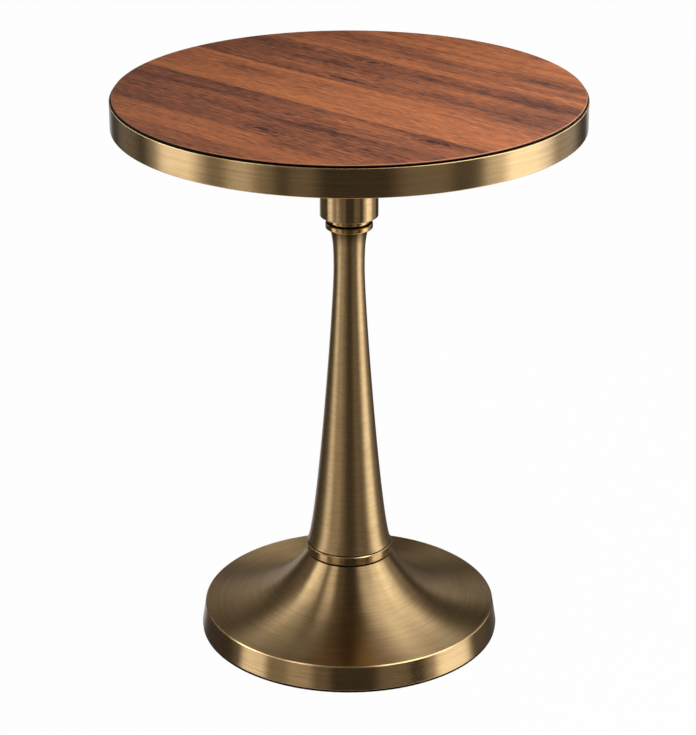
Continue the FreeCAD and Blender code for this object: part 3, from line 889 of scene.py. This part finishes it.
# Rubbed and polished brass: how tarnished it is, and what handling marks add to the roughness
TARNISHED = 0.15
MARK_ROUGHNESS = 0.12
RUBBED_METALLIC = 0.9

# Blackened brass, which is also painted shade in the grooves, seams and faces under other pieces: how
# brown it is, how much lighter the brown is, and the dull surface
GROOVE_BROWNED = 0.3
GROOVE_LIGHTER = 2.0
GROOVE_ROUGHNESS = 0.75
DUST_ROUGHNESS = 0.2
GROOVE_GLOSS = 0.2


def brushed_brass(look, name, depth, roughness, stretch, neck_roughness=None, head=None):
    """Antique brass, brushed round the table's axis, with a soft uneven patina. It may have
    another roughness at the neck of the base, and a height under which painted shade darkens it."""
    finish, tree = new_finish(name)
    x, y, z = tree.coordinates()
    radius = (x * x + y * y) ** 0.5
    profile = (radius - z) / MM
    round_x = x / radius
    round_y = y / radius
    broad_lines, fine_lines, tool_lines = (
        tree.noise(
            tree.vector(round_x * lines.breaks, round_y * lines.breaks, profile / lines.wide),
            lines.detail, lines.roughness,
        )
        for lines in (BROAD_LINES, FINE_LINES, TOOL_LINES)
    )
    clouds = tree.noise(tree.place(), detail=3.0, roughness=0.55, scale=22.0)
    line_browning = broad_lines * BROAD_LINE_BROWNING + tool_lines * TOOL_LINE_BROWNING
    browned = BROWNED + clouds * CLOUD_BROWNING + line_browning
    metal = tree.mix(browned, opaque(look.base), opaque(look.patina))
    # Painted shade: the metal darkens up to the head of the column, under the bead ring
    if head is not None:
        metal = tree.mix(tree.rise(z, head - look.head_reach, head), metal, opaque(look.head_patina))
    if neck_roughness is not None:
        past_neck = tree.rise(radius, look.neck_start, look.neck_end)
        roughness = neck_roughness + past_neck * (roughness - neck_roughness)
    tree.surface(
        base_color=metal,
        metallic=1.0,
        roughness=roughness + broad_lines * BROAD_LINE_ROUGHNESS + clouds * CLOUD_ROUGHNESS,
        anisotropic=stretch,
        anisotropic_rotation=QUARTER_TURN,
        normal=tree.bump(fine_lines, depth),
    )
    return finish


def bright_brass(look, name, metal, roughness, metallic):
    """Brass rubbed or polished bright, with faint handling marks."""
    finish, tree = new_finish(name)
    marks = tree.noise(tree.place(), detail=3.0, roughness=0.6, scale=60.0)
    tree.surface(
        base_color=tree.mix(TARNISHED + marks, opaque(metal), opaque(look.base)),
        metallic=metallic,
        roughness=roughness + marks * MARK_ROUGHNESS,
    )
    return finish


def blackened_brass(look, name):
    """Brass blackened in the grooves, which also paints the shade there, at seams and on faces under
    other pieces.
    """
    finish, tree = new_finish(name)
    dust = tree.noise(tree.place(), detail=2.0, roughness=0.6, scale=400.0)
    brown = tuple(channel * GROOVE_LIGHTER for channel in look.black)
    tree.surface(
        base_color=tree.mix(GROOVE_BROWNED + dust, opaque(look.black), opaque(brown)),
        roughness=GROOVE_ROUGHNESS + dust * DUST_ROUGHNESS,
        specular_ior_level=GROOVE_GLOSS,
    )
    return finish


def brass_finishes(look, face):
    """Brass finishes in the order of the material slots, made once and shared by all pieces."""
    makers = {
        "brushed_brass": lambda name: brushed_brass(
            look, name, look.brush_depth, look.roughness, look.stretch),
        "column_brass": lambda name: brushed_brass(
            look, name, look.brush_depth, look.column_roughness, look.column_stretch,
            head=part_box("column")[1].z),
        "rubbed_brass": lambda name: bright_brass(
            look, name, look.rubbed, look.rubbed_roughness, RUBBED_METALLIC),
        "blackened_brass": lambda name: blackened_brass(look, name),
        "polished_brass": lambda name: bright_brass(
            look, name, look.bright, look.bright_roughness, 1.0),
        "spun_brass": lambda name: brushed_brass(
            look, name, look.spun_depth, look.spun_roughness, look.stretch,
            neck_roughness=look.neck_roughness),
    }
    order = (face, "rubbed_brass", "blackened_brass", "polished_brass", "spun_brass")
    return [bpy.data.materials.get(name) or makers[name](name) for name in order]


def finish_brass(piece, node, look, face="brushed_brass"):
    """Let a turned piece stand for its node, in the brass finishes that its faces use."""
    used = 1 + max(polygon.material_index for polygon in piece.data.polygons)
    finish_piece(piece, node, brass_finishes(look, face)[:used])


# Brass pieces
def radius_and_levels(node):
    """Outer radius, lowest and highest level of a turned node."""
    low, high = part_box(node)
    return high.x, low.z, high.z


def make_edge_band(sizes):
    """Brass hoop round the top with a flange turned in under it."""
    outside, bottom, top = radius_and_levels("edge_band")
    bore = outside - sizes.wall
    flange_bore = outside - sizes.flange
    flange_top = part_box("backing_sheet")[0].z
    return turned_piece("brass_edge_band", straight(
        (flange_bore, bottom),
        (outside, bottom, sizes.bend_round),
        (outside, top, sizes.lip_round),
        (bore, top, sizes.lip_round),
        (bore, flange_top),
        (flange_bore, flange_top),
        (flange_bore, bottom),
    ))


def make_collar(sizes):
    """Plain sleeve with a floor, under the top."""
    outside, bottom, top = radius_and_levels("collar")
    bore = outside - sizes.collar_wall
    floor_top = bottom + sizes.collar_floor
    joint = outside - sizes.joint_depth
    joint_top = bottom + sizes.joint_height
    return turned_piece(
        "brass_collar",
        # Blackened brass and painted shade in the joint under the collar
        straight((sizes.rod_hole, bottom), (joint, bottom), (joint, joint_top), finish=GROOVE),
        straight(
            (joint, joint_top),
            (outside, joint_top, sizes.collar_round),
            (outside, top),
            (bore, top),
            (bore, floor_top),
            (sizes.rod_hole, floor_top),
            (sizes.rod_hole, bottom),
        ),
    )


def make_spool(sizes):
    """Rounded ring under the collar, with a dark groove under it."""
    outside, bottom, top = radius_and_levels("neck_spool")
    groove = outside - sizes.groove_depth
    groove_top = bottom + sizes.groove_height
    return turned_piece(
        "brass_neck_spool",
        # Blackened brass and painted shade in the groove under the spool
        straight((sizes.rod_hole, bottom), (groove, bottom), (groove, groove_top), finish=GROOVE),
        straight(
            (groove, groove_top),
            (outside, groove_top, sizes.spool_round),
            (outside, top, sizes.spool_round),
            (sizes.rod_hole, top),
            (sizes.rod_hole, bottom),
            finish=POLISHED, edge=POLISHED,
        ),
    )


def make_bead_ring(sizes):
    """Ring at the head of the column, rounded below and chamfered above."""
    outside, bottom, top = radius_and_levels("bead_ring")
    chamfer_start = (outside, top - sizes.bead_chamfer)
    chamfer_end = (outside - sizes.bead_chamfer, top)
    return turned_piece(
        "brass_bead_ring",
        straight((sizes.rod_hole, bottom), (outside, bottom, sizes.bead_round), chamfer_start,
                 finish=POLISHED, edge=POLISHED),
        straight(chamfer_start, chamfer_end, finish=EDGE),
        # Painted shade: the bead ring's flat top, under the spool's groove, is blackened and shaded
        # brass
        straight(chamfer_end, (sizes.rod_hole, top), (sizes.rod_hole, bottom), finish=GROOVE),
    )


def make_column(sizes, rod_hole):
    """Hollow trumpet with a waist near its top."""
    foot_radius, foot, top = radius_and_levels("column")
    waist = top - sizes.waist_drop
    trumpet = waist - foot
    top_pull = sizes.waist_drop * sizes.top_pull
    foot_pull = trumpet * sizes.foot_pull
    foot_lean = sizes.foot_slope * foot_pull
    waist_handle = waist - trumpet * sizes.waist_pull_down
    foot_handle = foot + foot_pull
    foot_bore = foot_radius - sizes.wall
    waist_bore = sizes.waist_radius - sizes.wall
    cavity_top = top - sizes.top_wall
    shade_line = (sizes.top_radius - sizes.top_slope * sizes.seam_height, top - sizes.seam_height)
    return turned_piece(
        "brass_column",
        curve(
            (foot_radius, foot),
            (foot_radius - foot_lean, foot_handle),
            (sizes.waist_radius, waist_handle),
            (sizes.waist_radius, waist),
        ),
        curve(
            (sizes.waist_radius, waist),
            (sizes.waist_radius, waist + sizes.waist_drop * sizes.waist_pull_up),
            (sizes.top_radius - sizes.top_slope * top_pull, top - top_pull),
            shade_line,
            steps=CURVE_STEPS // 2,
        ),
        # Painted shade: the top of the column's outside, under the bead ring, is blackened and shaded
        # brass
        straight(shade_line, (sizes.top_radius, top), finish=GROOVE),
        straight(
            (sizes.top_radius, top),
            (rod_hole, top),
            (rod_hole, cavity_top),
            (waist_bore, cavity_top),
            (waist_bore, waist),
        ),
        curve(
            (waist_bore, waist),
            (waist_bore, waist_handle),
            (foot_bore - foot_lean, foot_handle),
            (foot_bore, foot),
            steps=CURVE_STEPS // 4,
        ),
        straight((foot_bore, foot), (foot_radius, foot)),
    )


def make_foot_ring(sizes, base_sizes, column_sizes):
    """Ring that seats the column on the base, with a dark groove above and below."""
    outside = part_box("foot_ring")[1].x
    column_radius, column_foot, _ = radius_and_levels("column")
    bore = outside - sizes.width
    neck = column_radius + base_sizes.neck_step
    lip_bottom = base_sizes.height - base_sizes.wall
    lip_spigot = neck - base_sizes.lip_width - sizes.fit_gap
    lower_seat = neck - base_sizes.neck_chamfer - sizes.seam_depth
    upper_seat = column_radius - sizes.seam_depth
    ring_bottom = base_sizes.height + sizes.seam_gap
    ring_top = column_foot - sizes.seam_gap
    spigot = (column_radius - column_sizes.wall - sizes.fit_gap
              - column_sizes.foot_slope * sizes.spigot_height)
    spigot_top = column_foot + sizes.spigot_height
    chamfer_start = (outside, ring_top - sizes.edge_chamfer)
    chamfer_end = (outside - sizes.edge_chamfer, ring_top)
    return turned_piece(
        "brass_foot_ring",
        # Blackened brass and painted shade in the groove under the ring
        straight(
            (bore, lip_bottom),
            (lip_spigot, lip_bottom),
            (lip_spigot, base_sizes.height),
            (lower_seat, base_sizes.height),
            (lower_seat, ring_bottom),
            finish=GROOVE,
        ),
        straight((lower_seat, ring_bottom), (outside, ring_bottom, sizes.edge_round), chamfer_start),
        straight(chamfer_start, chamfer_end, finish=EDGE),
        # Painted shade: the ring's flat top under the column's foot, with the hidden faces beyond it,
        # is blackened and shaded brass
        straight(
            chamfer_end,
            (upper_seat, ring_top),
            (upper_seat, column_foot),
            (spigot, column_foot),
            (spigot, spigot_top),
            (bore, spigot_top),
            (bore, lip_bottom),
            finish=GROOVE,
        ),
    )


def make_base_cover(sizes):
    """Spun cover: neck lip, flare, chamfered rim and leaning skirt."""
    outside, skirt_bottom, _ = radius_and_levels("base_cover")
    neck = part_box("column")[1].x + sizes.neck_step
    lip_bore = neck - sizes.lip_width
    lip_bottom = sizes.height - sizes.wall
    neck_top = sizes.height - sizes.neck_chamfer
    rim = outside - sizes.skirt_lean
    flare_end = rim - sizes.rim_flat
    chamfer_start = rim - sizes.rim_chamfer
    chamfer_end = (rim, sizes.rim_height - sizes.rim_chamfer)
    run = flare_end - neck
    drop = neck_top - sizes.rim_height
    neck_lean = math.atan2(sizes.neck_run * run, sizes.neck_drop * drop)
    inward = sizes.wall * math.cos(neck_lean)
    downward = sizes.wall * math.sin(neck_lean)
    neck_handle = (neck + sizes.neck_run * run, neck_top - sizes.neck_drop * drop)
    rim_handle = flare_end - sizes.rim_pull * run
    inner_neck = (neck - inward, neck_top - downward)
    inner_handle = (neck_handle[0] - inward, neck_handle[1] - downward)
    inner_rim = sizes.rim_height - sizes.wall
    return turned_piece(
        "brass_base_cover",
        # Blackened brass and painted shade on the lip and chamfer at the neck
        straight((lip_bore, lip_bottom), (lip_bore, sizes.height),
                 (neck - sizes.neck_chamfer, sizes.height), (neck, neck_top), finish=GROOVE),
        curve((neck, neck_top), neck_handle, (rim_handle, sizes.rim_height),
              (flare_end, sizes.rim_height), finish=SPUN),
        straight((flare_end, sizes.rim_height), (chamfer_start, sizes.rim_height), finish=SPUN),
        straight((chamfer_start, sizes.rim_height), chamfer_end, finish=EDGE),
        straight(
            chamfer_end,
            (outside, skirt_bottom, sizes.skirt_round),
            (outside - sizes.wall, skirt_bottom),
            (rim - sizes.wall, inner_rim),
            (flare_end, inner_rim),
        ),
        curve((flare_end, inner_rim), (rim_handle, inner_rim), inner_handle, inner_neck,
              steps=CURVE_STEPS // 4),
        straight(inner_neck, (inner_neck[0] - sizes.wall, lip_bottom), (lip_bore, lip_bottom)),
    )


# Plain finishes of the pieces that keep the shape of their nodes
class Grain(NamedTuple):
    """Grain of a plain finish: how much darker its mottling is, the size and depth of its specks
    in metres, its roughness, whether it is metal, and how strongly it shines."""

    mottle: float
    speck: float
    depth: float
    roughness: float
    metallic: float = 0.0
    gloss: float = 0.5


PLAIN_GRAINS = {
    "black_rubber": Grain(0.40, 0.0008, 0.00005, 0.75, gloss=0.08),
    "black_sheet": Grain(0.30, 0.0012, 0.00003, 0.50),
    "core_board": Grain(0.40, 0.0015, 0.0001, 0.80),
    "black_steel": Grain(0.30, 0.0009, 0.00004, 0.45),
    "zinc_steel": Grain(0.25, 0.0006, 0.00001, 0.35, metallic=1.0),
    "cast_iron": Grain(0.40, 0.0022, 0.0003, 0.70),
    "nylon_pad": Grain(0.30, 0.0007, 0.00003, 0.55),
}

# How mottled a plain finish is, and what clouds and specks add to that and to the roughness
MOTTLED = 0.5
CLOUD_MOTTLING = 1.4
SPECK_MOTTLING = 0.6
PLAIN_CLOUD_ROUGHNESS = 0.08
SPECK_ROUGHNESS = 0.15


def plain_finish(name, base):
    """Finish with a mottled colour and a fine grain."""
    grain = PLAIN_GRAINS[name]
    finish, tree = new_finish(name)
    clouds = tree.noise(tree.place(), detail=3.0, roughness=0.5, scale=30.0)
    specks = tree.noise(tree.place(), detail=2.0, roughness=0.6, scale=1.0 / grain.speck)
    shade = tuple(channel * (1.0 - grain.mottle) for channel in base)
    mottled = MOTTLED + clouds * CLOUD_MOTTLING + specks * SPECK_MOTTLING
    tree.surface(
        base_color=tree.mix(mottled, opaque(base), opaque(shade)),
        metallic=grain.metallic,
        roughness=grain.roughness + specks * SPECK_ROUGHNESS + clouds * PLAIN_CLOUD_ROUGHNESS,
        specular_ior_level=grain.gloss,
        normal=tree.bump(specks, grain.depth),
    )
    return finish


def give_finish(look, name, *nodes):
    """Put a plain finish on pieces of the frame."""
    finish = plain_finish(name, getattr(look, name))
    for node in nodes:
        for material_slot in frame["nodes"][node].material_slots:
            material_slot.material = finish


# Stage
class Strip(NamedTuple):
    """Bright strip of the light tent: where it starts and ends, in degrees from the viewer to the
    right, its brightness, the heights that it reaches, and how soft its ends are, in degrees."""

    start: float
    end: float
    brightness: float
    bottom: float = -math.inf
    top: float = math.inf
    start_soft: float = 8.0
    end_soft: float = 8.0


TENT_DARK = 0.07
TENT_STRIPS = (
    # To the left of the viewer
    Strip(-165.0, -145.0, 0.45, top=0.95),
    Strip(-164.0, -150.0, 1.50, bottom=1.20, top=1.90, start_soft=10.0),
    Strip(-150.0, -100.0, 1.30, bottom=0.95, top=1.60, end_soft=12.0),
    Strip(-128.0, -106.0, 0.15, bottom=0.10, end_soft=6.0),
    Strip(-90.0, -69.0, 1.28, bottom=-0.15, top=0.90),
    Strip(-69.0, -52.0, 0.22, bottom=-0.15),
    Strip(-52.0, -40.0, 0.66, bottom=-0.15),
    Strip(-40.0, -31.0, 0.18, bottom=-0.15),
    Strip(-82.0, -61.0, 1.40, top=0.15),
    Strip(-61.0, -43.0, 0.22, top=0.15),
    Strip(-43.0, -25.0, 0.58, top=0.15),
    Strip(-24.0, -13.0, 0.15),
    Strip(-95.0, -62.0, 4.60, bottom=0.50, top=1.10, start_soft=12.0),
    Strip(-52.0, -34.0, 4.40, bottom=0.85, top=1.50, end_soft=10.0),
    # To the right of the viewer
    Strip(30.0, 58.0, 2.60, bottom=1.10, top=2.30, start_soft=12.0),
    Strip(58.0, 88.0, 3.80, bottom=0.50, top=1.15),
    Strip(57.0, 72.0, 2.60, bottom=0.90, top=3.20),
    Strip(20.0, 43.0, 0.17, start_soft=12.0),
    Strip(58.0, 70.0, 0.40, bottom=-0.15),
    Strip(70.0, 99.0, 1.85, bottom=-0.15, top=0.90, end_soft=12.0),
    Strip(99.0, 124.0, 0.46, bottom=-0.15, start_soft=12.0, end_soft=16.0),
    Strip(55.0, 64.0, 0.35, top=0.15),
    Strip(64.0, 96.0, 1.85, top=0.15, end_soft=12.0),
    Strip(96.0, 124.0, 0.06, top=0.15, start_soft=12.0, end_soft=16.0),
    Strip(145.0, 165.0, 0.85, bottom=0.20, top=0.75),
    Strip(90.0, 150.0, 2.00, bottom=0.95, top=1.65, start_soft=12.0),
    Strip(80.0, 150.0, 1.50, bottom=1.60, start_soft=12.0),
    Strip(150.0, 166.0, 2.40, bottom=1.20, end_soft=10.0),
    # Behind the table
    Strip(160.0, 190.0, 0.04, bottom=1.45, start_soft=10.0),
    Strip(-190.0, -160.0, 0.04, bottom=1.45, end_soft=10.0),
)

# How softly the strips end in height, and the foot, head and steps of the round tent
TENT_SOFT = 0.3
TENT_LOW = -2.0
TENT_HIGH = 5.0
TENT_STEPS = 120

# Faint light low down behind the table: its degrees from the viewer, heights and brightness
BACK_EDGE = (125.0, 165.0)
BACK_HEIGHTS = (-0.6, -0.1)
BACK_GLOW = 0.20

# The bright strips are cooler than the dark cloth
COOL = (1.0, 1.12, 1.27, 1.0)
COOL_LEVELS = (0.1, 1.2)

FLOOR_RADIUS = 20.0
FLOOR_STEPS = 64


def seen_directly(tree):
    """1 for what the camera sees, straight, mirrored or through glass."""
    rays = [tree.node("ShaderNodeLightPath", None, None, kind)
            for kind in ("Is Camera Ray", "Is Glossy Ray", "Is Transmission Ray")]
    return tree.math("MINIMUM", rays[0] + rays[1] + rays[2], 1.0)


def make_camera(look):
    """Camera at the view that the table is shown from."""
    camera_data = bpy.data.cameras.new("camera")
    camera_data.lens = look.lens
    camera_data.shift_x = look.shift
    camera = add_object("camera", camera_data)
    camera.location = look.camera_place
    camera.rotation_euler = (look.camera_tilt, 0.0, 0.0)
    bpy.context.scene.camera = camera


def make_sky(look):
    """White all round, at a softer level where it lights the table."""
    world = bpy.data.worlds.new("sky")
    tree = ShaderTree(world)
    strength = look.sky + seen_directly(tree) * (1.0 - look.sky)
    sky = tree.node("ShaderNodeBackground", None, {"Color": WHITE, "Strength": strength})
    tree.node("ShaderNodeOutputWorld", None, {"Surface": sky})
    bpy.context.scene.world = world


def make_lamp(look):
    """Soft lamp over the table, to the viewer's right."""
    lamp_data = bpy.data.lights.new("lamp", "AREA")
    lamp_data.shape = "DISK"
    lamp_data.size = look.lamp_width
    lamp_data.energy = look.lamp
    lamp = add_object("lamp", lamp_data)
    lamp.location = look.lamp_place
    towards_top = Vector((0.0, 0.0, CAD_BOX[1].z)) - lamp.location
    lamp.rotation_euler = towards_top.to_track_quat("-Z", "Y").to_euler()
    lamp.visible_camera = False
    lamp.visible_glossy = False


def floor_finish(look):
    """White that keeps the table's soft shadow, and is clear from below."""
    finish, tree = new_finish("pale_floor")
    lit = tree.node("ShaderNodeBsdfDiffuse", None, {"Color": opaque(look.floor)})
    white = tree.node("ShaderNodeEmission", None, {"Color": WHITE, "Strength": 1.0})
    glow = seen_directly(tree) * look.floor_glow
    floor_top = tree.node("ShaderNodeMixShader", None, {0: glow, 1: lit, 2: white})
    clear = tree.node("ShaderNodeBsdfTransparent")
    below = tree.node("ShaderNodeNewGeometry", None, None, "Backfacing")
    shown = tree.node("ShaderNodeMixShader", None, {0: below, 1: floor_top, 2: clear})
    tree.node("ShaderNodeOutputMaterial", None, {"Surface": shown})
    return finish


def make_floor(look):
    """Round floor that reaches out of the picture."""
    builder = bmesh.new()
    bmesh.ops.create_circle(builder, cap_ends=True, segments=FLOOR_STEPS, radius=FLOOR_RADIUS)
    floor = add_object("floor", finished_mesh(builder, "floor"))
    floor.data.materials.append(floor_finish(look))
    floor.visible_glossy = False


def strip_glow(tree, azimuth, height, strip):
    """Brightness of one strip of the tent at an azimuth in degrees and a height in metres."""
    begun = tree.rise(azimuth, strip.start - strip.start_soft / 2, strip.start + strip.start_soft / 2)
    ended = tree.rise(azimuth, strip.end - strip.end_soft / 2, strip.end + strip.end_soft / 2)
    glow = begun * (1 - ended) * strip.brightness
    if math.isfinite(strip.bottom):
        glow = glow * tree.rise(height, strip.bottom, strip.bottom + TENT_SOFT)
    if math.isfinite(strip.top):
        glow = glow * (1 - tree.rise(height, strip.top - TENT_SOFT, strip.top))
    return glow


def tent_finish():
    """Dark cloth with bright strips."""
    finish, tree = new_finish("light_tent")
    x, y, height = tree.coordinates()
    azimuth = tree.math("ARCTAN2", x, 0.0 - y) * math.degrees(1.0)
    brightness = TENT_DARK
    for strip in TENT_STRIPS:
        brightness = brightness + strip_glow(tree, azimuth, height, strip)
    behind = tree.rise(tree.math("ABSOLUTE", azimuth), *BACK_EDGE)
    low = 1 - tree.rise(height, *BACK_HEIGHTS)
    brightness = brightness + behind * low * BACK_GLOW
    tint = tree.mix(tree.rise(brightness, *COOL_LEVELS), WHITE, COOL)
    light = tree.scaled(tint, brightness)
    glow = tree.node("ShaderNodeEmission", None, {"Color": light, "Strength": 1.0})
    tree.node("ShaderNodeOutputMaterial", None, {"Surface": glow})
    return finish


def make_light_tent(look):
    """Round tent, closed at the top, which shows only in the table's reflections."""
    builder = bmesh.new()
    foot = round_ring(builder, look.tent_radius, TENT_LOW, TENT_STEPS)
    head = round_ring(builder, look.tent_radius, TENT_HIGH, TENT_STEPS)
    join_rings(builder, foot, head)
    builder.faces.new(head)
    tent = add_object("light_tent", finished_mesh(builder, "light_tent"))
    tent.data.materials.append(tent_finish())
    tent.visible_camera = False
    tent.visible_diffuse = False
    tent.visible_transmission = False
    tent.visible_volume_scatter = False
    tent.visible_shadow = False


# Operators, one for each piece or group of like pieces
FOOT_NUMBERS = range(1, 5)


class TABLE_OT_stage(Operator):
    """Set up the camera, floor and light"""

    bl_idname = "pedestal_table.stage"
    bl_label = "Stage"

    def execute(self, context):
        look = context.scene.pedestal_table.stage
        context.scene.view_settings.view_transform = "Standard"
        make_camera(look)
        make_sky(look)
        make_lamp(look)
        make_floor(look)
        make_light_tent(look)
        return {"FINISHED"}


class TABLE_OT_staves(Operator):
    """Make the walnut staves of the top"""

    bl_idname = "pedestal_table.staves"
    bl_label = "Staves"

    def execute(self, context):
        look = context.scene.pedestal_table.walnut
        radius = max(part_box(stave.node)[1].x for stave in STAVES)
        for number, stave in enumerate(STAVES, start=1):
            make_stave(look, number, stave, radius)
        return {"FINISHED"}


class TABLE_OT_edge_band(Operator):
    """Make the brass band round the top"""

    bl_idname = "pedestal_table.edge_band"
    bl_label = "Edge band"

    def execute(self, context):
        table = context.scene.pedestal_table
        band = make_edge_band(table.band)
        finish_brass(band, "edge_band", table.brass)
        return {"FINISHED"}


class TABLE_OT_neck(Operator):
    """Make the collar, spool and bead ring under the top"""

    bl_idname = "pedestal_table.neck"
    bl_label = "Neck"

    def execute(self, context):
        table = context.scene.pedestal_table
        finish_brass(make_collar(table.neck), "collar", table.brass)
        finish_brass(make_spool(table.neck), "neck_spool", table.brass)
        finish_brass(make_bead_ring(table.neck), "bead_ring", table.brass)
        return {"FINISHED"}


class TABLE_OT_column(Operator):
    """Make the trumpet column"""

    bl_idname = "pedestal_table.column"
    bl_label = "Column"

    def execute(self, context):
        table = context.scene.pedestal_table
        column = make_column(table.column, table.neck.rod_hole)
        finish_brass(column, "column", table.brass, face="column_brass")
        return {"FINISHED"}


class TABLE_OT_foot_ring(Operator):
    """Make the ring between the column and the base"""

    bl_idname = "pedestal_table.foot_ring"
    bl_label = "Foot ring"

    def execute(self, context):
        table = context.scene.pedestal_table
        ring = make_foot_ring(table.foot_ring, table.base, table.column)
        finish_brass(ring, "foot_ring", table.brass)
        return {"FINISHED"}


class TABLE_OT_base_cover(Operator):
    """Make the spun cover of the base"""

    bl_idname = "pedestal_table.base_cover"
    bl_label = "Base cover"

    def execute(self, context):
        table = context.scene.pedestal_table
        cover = make_base_cover(table.base)
        finish_brass(cover, "base_cover", table.brass)
        return {"FINISHED"}


class TABLE_OT_core(Operator):
    """Finish the board under the staves"""

    bl_idname = "pedestal_table.core"
    bl_label = "Core board"

    def execute(self, context):
        give_finish(context.scene.pedestal_table.hidden, "core_board", "top_core")
        return {"FINISHED"}


class TABLE_OT_backing(Operator):
    """Finish the sheet under the core board"""

    bl_idname = "pedestal_table.backing"
    bl_label = "Backing sheet"

    def execute(self, context):
        give_finish(context.scene.pedestal_table.hidden, "black_sheet", "backing_sheet")
        return {"FINISHED"}


class TABLE_OT_plate(Operator):
    """Finish the mounting plate and its hub"""

    bl_idname = "pedestal_table.plate"
    bl_label = "Mounting plate"

    def execute(self, context):
        look = context.scene.pedestal_table.hidden
        give_finish(look, "black_steel", "mounting_plate", "plate_hub")
        return {"FINISHED"}


class TABLE_OT_hardware(Operator):
    """Finish the plated screws, rod, nut, washers, inserts and foot stems"""

    bl_idname = "pedestal_table.hardware"
    bl_label = "Hardware"

    def execute(self, context):
        look = context.scene.pedestal_table.hidden
        stems = ["foot_stem_%d" % number for number in FOOT_NUMBERS]
        give_finish(look, "zinc_steel", "band_screws", "plate_screws", "tie_rod", "rod_washer",
                    "rod_lock_washer", "rod_nut", "foot_inserts", *stems)
        return {"FINISHED"}


class TABLE_OT_ballast(Operator):
    """Finish the weight inside the base"""

    bl_idname = "pedestal_table.ballast"
    bl_label = "Ballast"

    def execute(self, context):
        give_finish(context.scene.pedestal_table.hidden, "cast_iron", "ballast")
        return {"FINISHED"}


class TABLE_OT_base_ring(Operator):
    """Finish the rubber ring under the base"""

    bl_idname = "pedestal_table.base_ring"
    bl_label = "Base ring"

    def execute(self, context):
        give_finish(context.scene.pedestal_table.hidden, "black_rubber", "base_ring")
        return {"FINISHED"}


class TABLE_OT_foot_pads(Operator):
    """Finish the pads of the feet"""

    bl_idname = "pedestal_table.foot_pads"
    bl_label = "Foot pads"

    def execute(self, context):
        pads = ["foot_pad_%d" % number for number in FOOT_NUMBERS]
        give_finish(context.scene.pedestal_table.hidden, "nylon_pad", *pads)
        return {"FINISHED"}


class TABLE_PT_panel(Panel):
    """List of the pieces and their settings"""

    bl_idname = "TABLE_PT_panel"
    bl_label = "Pedestal Table"
    bl_space_type = "VIEW_3D"
    bl_region_type = "UI"
    bl_category = "Table"

    def draw(self, context):
        for operator in OPERATORS:
            self.layout.operator(operator.bl_idname)
        table = context.scene.pedestal_table
        for group_name in PedestalTable.__annotations__:
            group = getattr(table, group_name)
            box = self.layout.box()
            box.label(text=table.bl_rna.properties[group_name].name)
            for name in type(group).__annotations__:
                box.prop(group, name)


GROUPS = (
    WalnutLook, BrassLook, BandSizes, NeckSizes, ColumnSizes, FootRingSizes, BaseSizes, HiddenLook,
    StageLook, PedestalTable,
)
OPERATORS = (
    TABLE_OT_stage, TABLE_OT_staves, TABLE_OT_edge_band, TABLE_OT_neck, TABLE_OT_column,
    TABLE_OT_foot_ring, TABLE_OT_base_cover, TABLE_OT_core, TABLE_OT_backing, TABLE_OT_plate,
    TABLE_OT_hardware, TABLE_OT_ballast, TABLE_OT_base_ring, TABLE_OT_foot_pads,
)


def register():
    """Add the settings, operators and panel."""
    for kind in GROUPS + OPERATORS + (TABLE_PT_panel,):
        bpy.utils.register_class(kind)
    bpy.types.Scene.pedestal_table = PointerProperty(type=PedestalTable)


def unregister():
    """Take the settings, operators and panel away."""
    del bpy.types.Scene.pedestal_table
    for kind in reversed(GROUPS + OPERATORS + (TABLE_PT_panel,)):
        bpy.utils.unregister_class(kind)


def main():
    """Build the looks of the whole table."""
    register()
    bpy.ops.pedestal_table.stage()
    bpy.ops.pedestal_table.staves()
    bpy.ops.pedestal_table.edge_band()
    bpy.ops.pedestal_table.neck()
    bpy.ops.pedestal_table.column()
    bpy.ops.pedestal_table.foot_ring()
    bpy.ops.pedestal_table.base_cover()
    bpy.ops.pedestal_table.core()
    bpy.ops.pedestal_table.backing()
    bpy.ops.pedestal_table.plate()
    bpy.ops.pedestal_table.hardware()
    bpy.ops.pedestal_table.ballast()
    bpy.ops.pedestal_table.base_ring()
    bpy.ops.pedestal_table.foot_pads()


if __name__ == "__main__":
    main()
